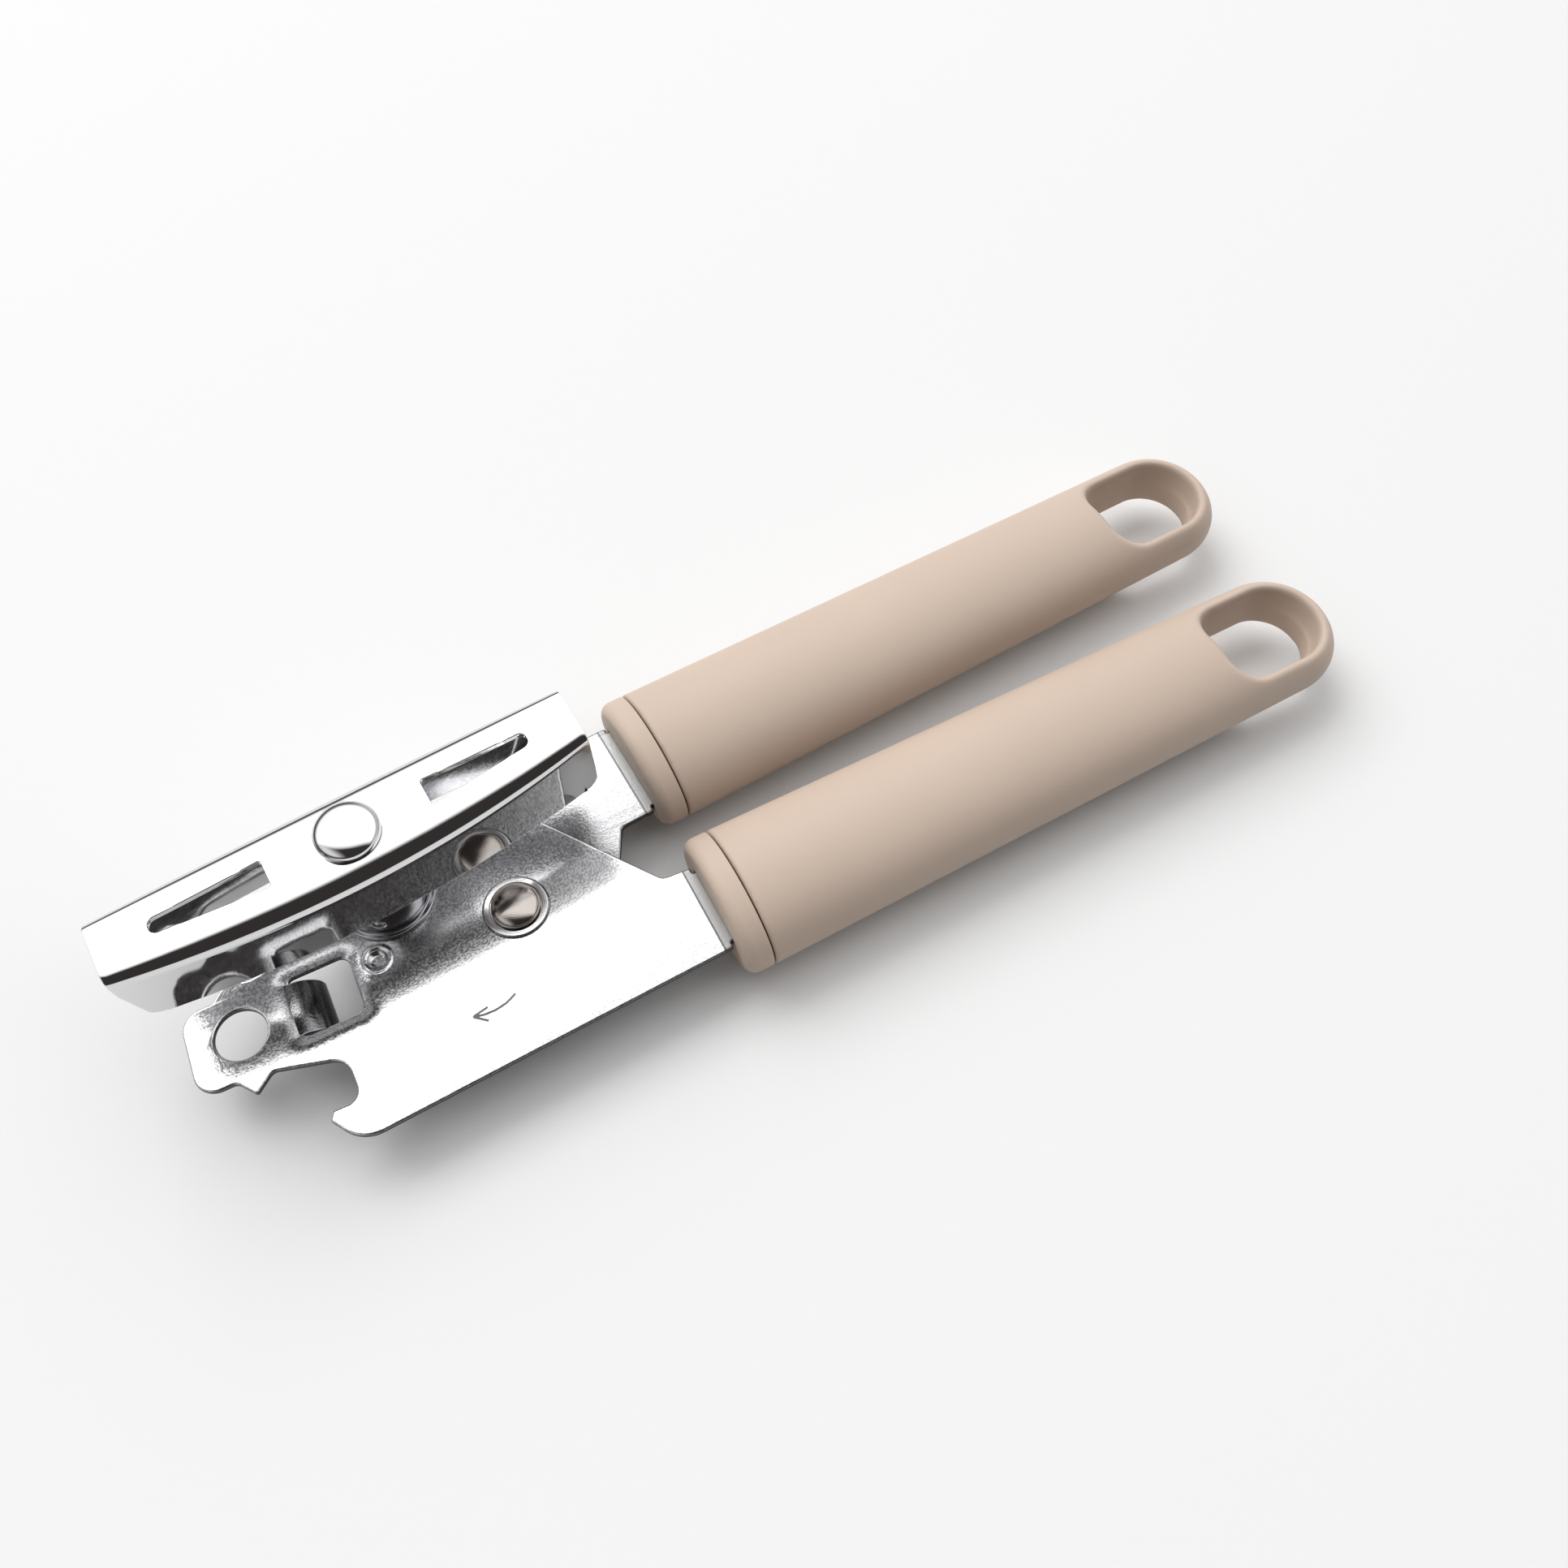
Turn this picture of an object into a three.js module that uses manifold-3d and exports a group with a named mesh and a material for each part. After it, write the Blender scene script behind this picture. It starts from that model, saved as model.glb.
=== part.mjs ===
// Hand can opener with a butterfly key, two pivoted plates and moulded grips.
// Units are millimetres, +Z is up and the opener lies on its back with the key on top.
// The origin is on the lever pivot's axis, at the flat tail of the pivot rivet.
// +X runs from the pivot toward the grips.
import * as THREE from 'three';
import { mergeVertices } from 'three/addons/utils/BufferGeometryUtils.js';
import Module from 'manifold-3d';

const wasm = await Module();
wasm.setup();

// ---------------------------------------------------------------- driving dimensions
const seatGap = 0.15; // between pieces that are fixed to each other
const runningGap = 0.3; // between pieces that turn on or past each other
const cutPast = 1; // how far a cutting tool stands past the face it opens

// lever pivot
const pivotShankRadius = 2.5;
const pivotDomeRadius = 3.8;
const pivotDomeHeight = 1.7;
const pivotDomeRim = 0.2; // upright rim below the dome
const pivotWasherRadius = 5.0;
const pivotWasherThickness = 0.8;
const pivotRecessDepth = 0.55;
const pivotTailRadius = 4.4;
const pivotTailHeight = 1.2;
const tailChamfer = 0.4; // on the tails of the rivet and the cutter's axle
const rearWasherRadius = 5.4;
const rearWasherThickness = 0.7;

// plates
const frontPlateThickness = 1.2;
const rearPlateThickness = 1.2;
const tangLength = 18; // inside the handle
const tangShoulder = 1.0; // step from tongue to tang, each side
const tangClearance = 0.3;
const tongueCorner = 0.5;
const tangRootCorner = 0.2;
const tangEndCorner = 1.5;

// turning key and its shaft
const shaftX = -17.3;
const shaftY = 11.2;
const shaftRadius = 3.0;
const shaftSquare = 4.2; // across the flats of the driven squares
const shaftHeadRadius = 4.9;
const shaftHeadHeight = 2.2;
const shaftHeadRim = 0.4; // upright rim below the dome
const shaftThreadRadius = 2.0;
const shaftThreadStickOut = 0.5;
const keyAngle = 5.1; // degrees, at rest
const keyLength = 72.4;
const keyHalfWidth = 7.8; // at the shaft
const keyEndHalfWidth = 5.3;
const keyWall = 1.0;
const keyBendRadius = 1.9;
const keyWebTop = 21.0; // above the front plate, at the shaft
const keyFlangeDepth = 13.2; // from the web's top to the flange's lower edge
const keyEndRise = 2.1; // how much higher the key's ends are than its middle
const keyCornerRadius = 2.2;
const keyCornerSlant = 1.0; // extra cut at the lower corner of the leading flange ends
const keyCornerTilt = -0.3; // radians, where a lower corner's arc meets the flange's end
const keySteps = 18; // sections along the key
const windowInner = 12.2; // along the key from the shaft
const windowOuter = 28.6;
const windowWideHalf = 2.35;
const windowNarrowHalf = 1.2;
const windowWideCorner = 0.4;
const windowNarrowCorner = 1.14;

// shaft bushing on the front plate
const bushingRadius = 7.8;
const bushingLip = 0.5;
const bushingBodyRadius = 6.9;
const bushingTopRadius = 4.9;
const bushingHeight = 6.6;
const bushingShoulder = 0.4; // share of the height below the rounded shoulder
const bushingSpigotRadius = 5.2;
const collarRadius = 4.6;

// feed wheel under the front plate
const feedWasherRadius = 5.4;
const feedWasherThickness = 1.2;
const feedRadius = 6.6;
const feedToothDepth = 0.6;
const feedTeeth = 20;
const feedThickness = 3.4;
const nutAcrossFlats = 7.0;
const nutThickness = 2.2;

// cutter wheel under the rear plate
const cutterRadius = 9.5;
const cutterThickness = 1.6;
const cutterEdge = 0.3;
const cutterBevel = 2.2;
const cutterOverlap = 0.8; // how far the cutter's rim passes over the feed wheel, in plan
const cutterAxialGap = 0.4;
const cutterOffsetX = -0.2; // from the shaft's axis
const axleShankRadius = 2.2;
const axleHeadRadius = 3.6;
const axleTailRadius = 3.5;
const axleTailHeight = 0.7;
const spacerRadius = 3.7;
const cutterWasherRadius = 4.4;
const cutterWasherThickness = 0.4;
const lobeWall = 1.5; // of the rear plate round the axle's head

// rim guide, stop bump and hanging hole in the front plate
const guideLeft = -35.9;
const guideRight = -26.1;
const guideLow = -5.2;
const guideHigh = 4.5;
const guideCorner = 1.5;
const guideBend = 4.9; // outer radius of the tab's bend
const guideDrop = 0.8; // straight end below the bend
const guideSideGap = 0.35;
const stopX = -22.0;
const stopY = 1.6;
const stopRadius = 1.7;
const stopHeight = 1.0;
const stopRoot = 0.4; // how far the bump is set into the plate
const dentDepth = 0.6; // in the plate's face, above the bump
const hangX = -43.8;
const hangY = -0.7;
const hangRadius = 3.9;

// handles
const handleLength = 120.6;
const handleWidth = 24.6; // at the cap
const handleEndWidth = 22.4; // where the end starts to round
const handleThickness = 16.2;
const handleEndRound = 11.0;
const capLength = 4.3;
const capEdgeRadius = 2.0;
const loopLength = 20.8;
const loopHalfWidth = 7.8;
const loopRim = 3.4;
const loopInnerCorner = 5.0;
const loopOuterCorner = 6.6;
const upperHandle = { x: 26.2, y: 15.9, angle: 3.5, tongue: 9.2 };
const lowerHandle = { x: 27.5, y: -13.7, angle: 1.4, tongue: 7.65 };

// ---------------------------------------------------------------- levels, from the pivot's tail up
const tailTop = pivotTailHeight;
const rearWasherBottom = tailTop + seatGap;
const rearWasherTop = rearWasherBottom + rearWasherThickness;
const rearPlateBottom = rearWasherTop + runningGap;
const rearPlateTop = rearPlateBottom + rearPlateThickness;
const frontPlateBottom = rearPlateTop + runningGap;
const frontPlateTop = frontPlateBottom + frontPlateThickness;
const pivotWasherBottom = frontPlateTop - pivotRecessDepth + seatGap;
const pivotWasherTop = pivotWasherBottom + pivotWasherThickness;
const handleMiddle = (frontPlateTop + rearPlateBottom) / 2;
const keyTop = frontPlateTop + keyWebTop;
const keyUnderside = keyTop - keyWall;
const bushingTop = frontPlateTop + seatGap + bushingHeight;
const feedWasherTop = frontPlateBottom - runningGap;
const feedWasherBottom = feedWasherTop - feedWasherThickness;
const feedTop = feedWasherBottom - seatGap;
const feedBottom = feedTop - feedThickness;
const nutTop = feedBottom - seatGap;
const nutBottom = nutTop - nutThickness;
const cutterTop = feedBottom - cutterAxialGap;
const cutterBottom = cutterTop - cutterThickness;
const cutterWasherTop = cutterBottom - runningGap;
const cutterWasherBottom = cutterWasherTop - cutterWasherThickness;
const axleTailTop = cutterWasherBottom - seatGap;
const cutterX = shaftX + cutterOffsetX;
const cutterY = shaftY - (feedRadius + cutterRadius - cutterOverlap);

// ---------------------------------------------------------------- solids and meshes
function solidOf(geometry) {
  const bare = geometry.index ? geometry.toNonIndexed() : geometry.clone();
  bare.deleteAttribute('normal');
  bare.deleteAttribute('uv');
  const merged = mergeVertices(bare, 1e-4);
  const index = merged.index.array;
  const triangles = [];
  for (let i = 0; i < index.length; i += 3) {
    const [a, b, c] = [index[i], index[i + 1], index[i + 2]];
    if (a !== b && b !== c && c !== a) triangles.push(a, b, c);
  }
  return new wasm.Manifold(new wasm.Mesh({
    numProp: 3,
    vertProperties: new Float32Array(merged.attributes.position.array),
    triVerts: new Uint32Array(triangles),
  }));
}

function geometryOf(solid) {
  const mesh = solid.getMesh();
  const geometry = new THREE.BufferGeometry();
  geometry.setAttribute('position', new THREE.BufferAttribute(mesh.vertProperties, 3));
  geometry.setIndex(new THREE.BufferAttribute(mesh.triVerts, 1));
  return geometry;
}

function piece(parent, name, solid, look) {
  const material = new THREE.MeshStandardMaterial(look);
  const mesh = new THREE.Mesh(geometryOf(solid), material);
  mesh.name = name;
  mesh.material.flatShading = true;
  parent.add(mesh);
}

// A closed outline from [x, y, radius] corners, each rounded by an arc of its radius.
function roundedShape(corners, PathClass = THREE.Shape) {
  const path = new PathClass();
  corners.forEach(([x, y, radius], i) => {
    const here = new THREE.Vector2(x, y);
    const before = corners[(i + corners.length - 1) % corners.length];
    const after = corners[(i + 1) % corners.length];
    const back = new THREE.Vector2(before[0] - x, before[1] - y).normalize();
    const ahead = new THREE.Vector2(after[0] - x, after[1] - y).normalize();
    const halfAngle = Math.acos(THREE.MathUtils.clamp(back.dot(ahead), -1, 1)) / 2;
    const trim = radius / Math.tan(halfAngle);
    const start = here.clone().addScaledVector(back, trim);
    const middle = back.clone().add(ahead).normalize();
    const centre = here.clone().addScaledVector(middle, radius / Math.sin(halfAngle));
    const end = here.clone().addScaledVector(ahead, trim);
    const turnsLeft = back.cross(ahead) < 0;
    if (i === 0) path.moveTo(start.x, start.y);
    else path.lineTo(start.x, start.y);
    path.absarc(centre.x, centre.y, radius, Math.atan2(start.y - centre.y, start.x - centre.x),
      Math.atan2(end.y - centre.y, end.x - centre.x), !turnsLeft);
  });
  path.closePath();
  return path;
}

// An outline extruded between two levels.
function slab(shape, bottom, top, segments = 5) {
  const options = { depth: top - bottom, bevelEnabled: false, curveSegments: segments };
  return solidOf(new THREE.ExtrudeGeometry(shape, options).translate(0, 0, bottom));
}

// A solid of revolution about Z from [radius, level] points, listed upward on the outside.
function turned(profile, segments = 28) {
  const points = profile.map(([radius, level]) => new THREE.Vector2(radius, level));
  return solidOf(new THREE.LatheGeometry(points, segments).rotateX(Math.PI / 2));
}

function disc(radius, bottom, top, segments = 28) {
  return turned([[0, bottom], [radius, bottom], [radius, top], [0, top]], segments);
}

function ring(outer, inner, bottom, top, segments = 28) {
  return turned([[inner, bottom], [outer, bottom], [outer, top], [inner, top], [inner, bottom]], segments);
}

function squareBar(across, bottom, top) {
  const box = new THREE.BoxGeometry(across, across, top - bottom);
  return solidOf(box.translate(0, 0, (bottom + top) / 2));
}

// [radius, level] points along a quarter ellipse from the rim up to the axis side.
function quarterRound(startRadius, startLevel, endRadius, endLevel, steps = 5) {
  return Array.from({ length: steps + 1 }, (_, i) => {
    const turn = (i / steps) * (Math.PI / 2);
    const radius = endRadius + (startRadius - endRadius) * Math.cos(turn);
    return [radius, startLevel + (endLevel - startLevel) * Math.sin(turn)];
  });
}

const degrees = THREE.MathUtils.degToRad;
const chrome = { color: 0xc9cbcd, roughness: 0.12, metalness: 1 };
const nickel = { color: 0xbfc1c3, roughness: 0.3, metalness: 1 };
const steel = { color: 0x9a9c9e, roughness: 0.35, metalness: 1 };
const beige = { color: 0xd8c3b2, roughness: 0.55, metalness: 0 };

const opener = new THREE.Group();
const lowerLever = new THREE.Group();
const upperLever = new THREE.Group();
const keyGroup = new THREE.Group();
const cutterGroup = new THREE.Group();
keyGroup.position.set(shaftX, shaftY, 0);
cutterGroup.position.set(cutterX, cutterY, 0);
upperLever.add(cutterGroup);
opener.add(lowerLever, upperLever, keyGroup);

// Corners of a plate's tongue where it enters a handle, from the low side to the high side.
function tongueCorners(handle) {
  const turn = degrees(handle.angle);
  const half = handle.tongue;
  const shoulder = -runningGap;
  const end = tangLength - 2 * runningGap;
  const local = [
    [shoulder, -half, tongueCorner], [shoulder, -half + tangShoulder, tangRootCorner],
    [end, -half + tangShoulder, tangEndCorner], [end, half - tangShoulder, tangEndCorner],
    [shoulder, half - tangShoulder, tangRootCorner], [shoulder, half, tongueCorner],
  ];
  return local.map(([along, across, radius]) => [
    handle.x + along * Math.cos(turn) - across * Math.sin(turn),
    handle.y + along * Math.sin(turn) + across * Math.cos(turn),
    radius,
  ]);
}

// A round hole through either plate.
function plateHole(x, y, radius) {
  return disc(radius, rearPlateBottom - cutPast, frontPlateTop + cutPast).translate(x, y, 0);
}

// ---------------------------------------------------------------- front plate
function frontPlate() {
  const outline = roundedShape([
    ...tongueCorners(lowerHandle),
    [22.4, -5.8, 1.8], [3.0, 20.6, 6], [-26.8, 21.6, 9.4], [-28.6, 8.8, 4],
    [-40.8, 7.1, 3], [-43.6, 8.8, 1.6], [-46.2, 6.0, 1.4], [-51.4, 5.9, 3.2],
    [-51.9, -7.7, 3.4], [-46.3, -7.7, 1.4], [-44.1, -10.6, 0.4], [-41.2, -8.3, 1.4],
    [-31.0, -11.3, 3.2], [-30.8, -18.1, 2.0], [-35.0, -17.9, 0.3], [-35.8, -19.2, 0.4],
    [-32.6, -24.1, 5.5],
  ]);
  outline.holes.push(roundedShape([
    [guideLeft, guideLow, guideCorner], [guideRight, guideLow, guideCorner],
    [guideRight, guideHigh, guideCorner], [guideLeft, guideHigh, guideCorner],
  ], THREE.Path));
  let solid = slab(outline, frontPlateBottom, frontPlateTop);
  solid = solid.subtract(plateHole(0, 0, pivotShankRadius + seatGap));
  solid = solid.subtract(plateHole(shaftX, shaftY, bushingSpigotRadius + seatGap));
  solid = solid.subtract(plateHole(hangX, hangY, hangRadius));
  const above = frontPlateTop + cutPast;
  solid = solid.subtract(disc(pivotWasherRadius + seatGap, frontPlateTop - pivotRecessDepth, above));
  const bump = disc(stopRadius, frontPlateBottom - stopHeight, frontPlateBottom + stopRoot, 20);
  const dent = disc(stopRadius, frontPlateTop - dentDepth, above, 20);
  solid = solid.add(bump.translate(stopX, stopY, 0)).subtract(dent.translate(stopX, stopY, 0));
  return solid.add(guideTab());
}

// The tab that is bent down from the left edge of its window, a strip with a quarter bend.
function guideTab() {
  const inner = guideBend - frontPlateThickness;
  const centreX = guideLeft;
  const centreZ = frontPlateTop - guideBend;
  const section = new THREE.Shape();
  section.moveTo(centreX - guideCorner, frontPlateTop);
  section.lineTo(centreX, frontPlateTop);
  section.absarc(centreX, centreZ, guideBend, Math.PI / 2, 0, true);
  section.lineTo(centreX + guideBend, centreZ - guideDrop);
  section.lineTo(centreX + inner, centreZ - guideDrop);
  section.absarc(centreX, centreZ, inner, 0, Math.PI / 2, false);
  section.lineTo(centreX - guideCorner, frontPlateBottom);
  section.closePath();
  const width = guideHigh - guideLow - 2 * guideSideGap;
  const strip = new THREE.ExtrudeGeometry(section, { depth: width, bevelEnabled: false, curveSegments: 8 });
  strip.rotateX(Math.PI / 2);
  strip.translate(0, guideHigh - guideSideGap, 0);
  return solidOf(strip);
}

// ---------------------------------------------------------------- rear plate
function rearPlate() {
  const lobe = axleHeadRadius + lobeWall;
  const lobeCorner = lobe - 0.1; // leaves a short straight between its two arcs
  const outline = roundedShape([
    ...tongueCorners(upperHandle),
    [11.0, 24.0, 6], [3.0, 11.2, 6], [-8.6, 10.2, 7],
    [-11.0, cutterY + lobe, 3], [cutterX - lobe, cutterY + lobe, lobeCorner],
    [cutterX - lobe, cutterY - lobe, lobeCorner], [12.6, -9.4, 7], [20.5, 6.2, 0.8],
  ]);
  const head = turned([
    [0, rearPlateBottom - cutPast], [axleShankRadius + seatGap, rearPlateBottom - cutPast],
    [axleShankRadius + seatGap, rearPlateBottom], [axleHeadRadius + seatGap, rearPlateTop],
    [axleHeadRadius + seatGap, rearPlateTop + cutPast], [0, rearPlateTop + cutPast],
  ]);
  const plate = slab(outline, rearPlateBottom, rearPlateTop);
  const bored = plate.subtract(plateHole(0, 0, pivotShankRadius + runningGap));
  return bored.subtract(head.translate(cutterX, cutterY, 0));
}

// ---------------------------------------------------------------- pivot pieces
function pivotRivet() {
  const domeBase = pivotWasherTop + seatGap;
  return turned([
    [0, 0], [pivotTailRadius - tailChamfer, 0], [pivotTailRadius, tailChamfer], [pivotTailRadius, tailTop],
    [pivotShankRadius, tailTop], [pivotShankRadius, domeBase], [pivotDomeRadius, domeBase],
    ...quarterRound(pivotDomeRadius, domeBase + pivotDomeRim, 0, domeBase + pivotDomeHeight),
  ]);
}

piece(lowerLever, 'front_plate', frontPlate(), nickel);
piece(upperLever, 'rear_plate', rearPlate(), nickel);
piece(lowerLever, 'pivot_rivet', pivotRivet(), steel);
piece(lowerLever, 'pivot_front_washer',
  ring(pivotWasherRadius, pivotShankRadius + seatGap, pivotWasherBottom, pivotWasherTop), chrome);
piece(lowerLever, 'pivot_rear_washer',
  ring(rearWasherRadius, pivotShankRadius + seatGap, rearWasherBottom, rearWasherTop), steel);

// ---------------------------------------------------------------- key, shaft and feed wheel
function shaftBushing() {
  const base = frontPlateTop + seatGap;
  const bore = shaftRadius + runningGap;
  const shoulder = base + bushingHeight * bushingShoulder;
  return turned([
    [bore, frontPlateBottom], [bushingSpigotRadius, frontPlateBottom], [bushingSpigotRadius, base],
    [bushingRadius, base], [bushingRadius, base + bushingLip], [bushingBodyRadius, base + bushingLip],
    ...quarterRound(bushingBodyRadius, shoulder, bushingTopRadius, bushingTop, 5),
    [bore, bushingTop], [bore, frontPlateBottom],
  ]).translate(shaftX, shaftY, 0);
}

function driveShaft() {
  const headBase = keyTop + seatGap;
  const squareEnd = feedBottom + seatGap;
  const body = disc(shaftRadius, feedTop + seatGap, keyUnderside - runningGap);
  const thread = disc(shaftThreadRadius, nutBottom - shaftThreadStickOut, feedTop);
  const head = turned([
    [0, headBase], [shaftHeadRadius, headBase],
    ...quarterRound(shaftHeadRadius, headBase + shaftHeadRim, 0, headBase + shaftHeadHeight),
  ]);
  const square = squareBar(shaftSquare, squareEnd, headBase + shaftHeadRim);
  return body.add(thread).add(head).add(square).rotate([0, 0, keyAngle]);
}

// Half width of the key at a distance along it from the shaft.
function keyHalfWidthAt(along) {
  const share = along / (keyLength / 2);
  return keyHalfWidth - (keyHalfWidth - keyEndHalfWidth) * share * share;
}

function keyRiseAt(along) {
  const share = along / (keyLength / 2);
  return keyEndRise * share * share;
}

// A channel that opens downward, drawn at full width, then narrowed and raised toward its ends.
function turningKey() {
  const low = keyTop - keyFlangeDepth;
  const inner = keyHalfWidth - keyWall;
  const innerBend = keyBendRadius - keyWall;
  const section = new THREE.Shape();
  section.moveTo(keyHalfWidth, low);
  section.lineTo(keyHalfWidth, keyTop - keyBendRadius);
  section.absarc(keyHalfWidth - keyBendRadius, keyTop - keyBendRadius, keyBendRadius, 0, Math.PI / 2);
  section.lineTo(-keyHalfWidth + keyBendRadius, keyTop);
  section.absarc(-keyHalfWidth + keyBendRadius, keyTop - keyBendRadius, keyBendRadius,
    Math.PI / 2, Math.PI);
  section.lineTo(-keyHalfWidth, low);
  section.lineTo(-inner, low);
  section.lineTo(-inner, keyUnderside - innerBend);
  section.absarc(-inner + innerBend, keyUnderside - innerBend, innerBend, Math.PI, Math.PI / 2, true);
  section.lineTo(inner - innerBend, keyUnderside);
  section.absarc(inner - innerBend, keyUnderside - innerBend, innerBend, Math.PI / 2, 0, true);
  section.lineTo(inner, low);
  section.closePath();
  const options = { depth: keyLength, steps: keySteps, bevelEnabled: false, curveSegments: 4 };
  const channel = new THREE.ExtrudeGeometry(section, options);
  const position = channel.attributes.position;
  for (let i = 0; i < position.count; i += 1) {
    const along = position.getZ(i) - keyLength / 2;
    const across = position.getX(i);
    const narrowed = across - Math.sign(across) * (keyHalfWidth - keyHalfWidthAt(along));
    position.setXYZ(i, along, narrowed, position.getY(i) + keyRiseAt(along));
  }
  let solid = solidOf(channel);
  const windowShape = roundedShape([
    [windowInner, -windowWideHalf, windowWideCorner], [windowOuter, -windowNarrowHalf, windowNarrowCorner],
    [windowOuter, windowNarrowHalf, windowNarrowCorner], [windowInner, windowWideHalf, windowWideCorner],
  ]);
  const below = keyUnderside - cutPast;
  const above = keyTop + keyEndRise + cutPast;
  const opening = slab(windowShape, below, above);
  const corner = flangeCorner(low + keyEndRise, 0, -1);
  const slantedCorner = flangeCorner(low + keyEndRise, keyCornerSlant, 1);
  for (const cut of [opening, corner, slantedCorner]) {
    solid = solid.subtract(cut).subtract(cut.rotate([0, 0, 180]));
  }
  return solid.subtract(squareBar(shaftSquare + 2 * seatGap, below, above)).rotate([0, 0, keyAngle]);
}

// What is cut from the lower corner of one flange at the key's +X end. side is the flange's
// side, and slant is how much shorter the flange is at its lower edge than at the web.
function flangeCorner(low, slant, side) {
  const end = keyLength / 2;
  const foot = end - slant;
  const block = new THREE.Shape();
  block.moveTo(foot - keyCornerRadius, low - cutPast);
  block.lineTo(foot - keyCornerRadius, low);
  block.absarc(foot - keyCornerRadius, low + keyCornerRadius, keyCornerRadius, -Math.PI / 2, keyCornerTilt);
  block.lineTo(end + 0.1, keyTop - keyBendRadius);
  block.lineTo(end + cutPast, keyTop - keyBendRadius);
  block.lineTo(end + cutPast, low - cutPast);
  block.closePath();
  const width = keyHalfWidth + cutPast;
  const cut = new THREE.ExtrudeGeometry(block, { depth: width, bevelEnabled: false, curveSegments: 5 });
  cut.rotateX(Math.PI / 2);
  return solidOf(cut.translate(0, side > 0 ? width : 0, 0));
}

// A toothed outline for the feed wheel.
function feedWheel() {
  const outline = new THREE.Shape();
  for (let i = 0; i < feedTeeth * 2; i += 1) {
    const angle = (i * Math.PI) / feedTeeth;
    const radius = i % 2 ? feedRadius - feedToothDepth : feedRadius;
    const [x, y] = [radius * Math.cos(angle), radius * Math.sin(angle)];
    if (i === 0) outline.moveTo(x, y);
    else outline.lineTo(x, y);
  }
  outline.closePath();
  const bore = squareBar(shaftSquare + 2 * seatGap, feedBottom - cutPast, feedTop + cutPast);
  return slab(outline, feedBottom, feedTop).subtract(bore).rotate([0, 0, keyAngle]);
}

function feedNut() {
  const cornerRadius = nutAcrossFlats / Math.sqrt(3);
  const hexagon = disc(cornerRadius, nutBottom, nutTop, 6);
  return hexagon.subtract(disc(shaftThreadRadius + seatGap, nutBottom - cutPast, nutTop + cutPast, 24));
}

piece(lowerLever, 'shaft_bushing', shaftBushing(), steel);
piece(keyGroup, 'drive_shaft', driveShaft(), chrome);
piece(keyGroup, 'turning_key', turningKey(), chrome);
piece(keyGroup, 'key_collar',
  ring(collarRadius, shaftRadius + seatGap, bushingTop + runningGap, keyUnderside - seatGap), steel);
piece(keyGroup, 'feed_washer',
  ring(feedWasherRadius, shaftRadius + seatGap, feedWasherBottom, feedWasherTop), steel);
piece(keyGroup, 'feed_wheel', feedWheel(), steel);
piece(keyGroup, 'feed_nut', feedNut(), steel);

// ---------------------------------------------------------------- cutter wheel on its axle
function cutterAxle() {
  const tailBottom = axleTailTop - axleTailHeight;
  return turned([
    [0, tailBottom], [axleTailRadius - tailChamfer, tailBottom], [axleTailRadius, tailBottom + tailChamfer],
    [axleTailRadius, axleTailTop], [axleShankRadius, axleTailTop], [axleShankRadius, rearPlateBottom],
    [axleHeadRadius, rearPlateTop], [0, rearPlateTop],
  ]);
}

function cutterWheel() {
  const bore = axleShankRadius + runningGap;
  return turned([
    [bore, cutterBottom], [cutterRadius - cutterBevel, cutterBottom],
    [cutterRadius, cutterTop - cutterEdge], [cutterRadius, cutterTop], [bore, cutterTop],
    [bore, cutterBottom],
  ], 56);
}

piece(cutterGroup, 'cutter_axle', cutterAxle(), steel);
piece(cutterGroup, 'cutter_spacer',
  ring(spacerRadius, axleShankRadius + seatGap, cutterTop + runningGap, rearPlateBottom - seatGap), steel);
piece(cutterGroup, 'cutter_wheel', cutterWheel(), steel);
piece(cutterGroup, 'cutter_washer',
  ring(cutterWasherRadius, axleShankRadius + seatGap, cutterWasherBottom, cutterWasherTop), steel);

// ---------------------------------------------------------------- caps and grips
// Turned round the handle's own axis, then flattened; built along +X from the cap's face.
function flattened(profile) {
  const points = profile.map(([radius, along]) => new THREE.Vector2(radius, along));
  const geometry = new THREE.LatheGeometry(points, 44).rotateZ(-Math.PI / 2);
  return solidOf(geometry.scale(1, 1, handleThickness / handleWidth));
}

function tangSlot(handle, plateBottom, plateTop) {
  const length = tangLength + cutPast;
  const width = 2 * (handle.tongue - tangShoulder + tangClearance);
  const height = plateTop - plateBottom + 2 * tangClearance;
  const middle = (plateTop + plateBottom) / 2 - handleMiddle;
  return solidOf(new THREE.BoxGeometry(length, width, height).translate(length / 2 - cutPast, 0, middle));
}

function cap() {
  const radius = handleWidth / 2;
  const steps = 4;
  const edge = Array.from({ length: steps + 1 }, (_, i) => {
    const turn = (i / steps) * (Math.PI / 2);
    return [radius - capEdgeRadius * (1 - Math.sin(turn)), capEdgeRadius * (1 - Math.cos(turn))];
  });
  return flattened([[0, 0], ...edge, [radius, capLength], [0, capLength]]);
}

function grip() {
  const start = capLength + runningGap;
  const roundStart = handleLength - handleEndRound;
  const halfEnd = handleEndWidth / 2;
  const body = flattened([
    [0, start], [handleWidth / 2, start],
    ...quarterRound(halfEnd, roundStart, 0, handleLength, 10),
  ]);
  const loopEnd = handleLength - loopRim;
  const loopStart = loopEnd - loopLength;
  const loop = roundedShape([
    [loopStart, -loopHalfWidth, loopInnerCorner], [loopEnd, -loopHalfWidth, loopOuterCorner],
    [loopEnd, loopHalfWidth, loopOuterCorner], [loopStart, loopHalfWidth, loopInnerCorner],
  ]);
  return body.subtract(slab(loop, -handleThickness, handleThickness, 8));
}

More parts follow.
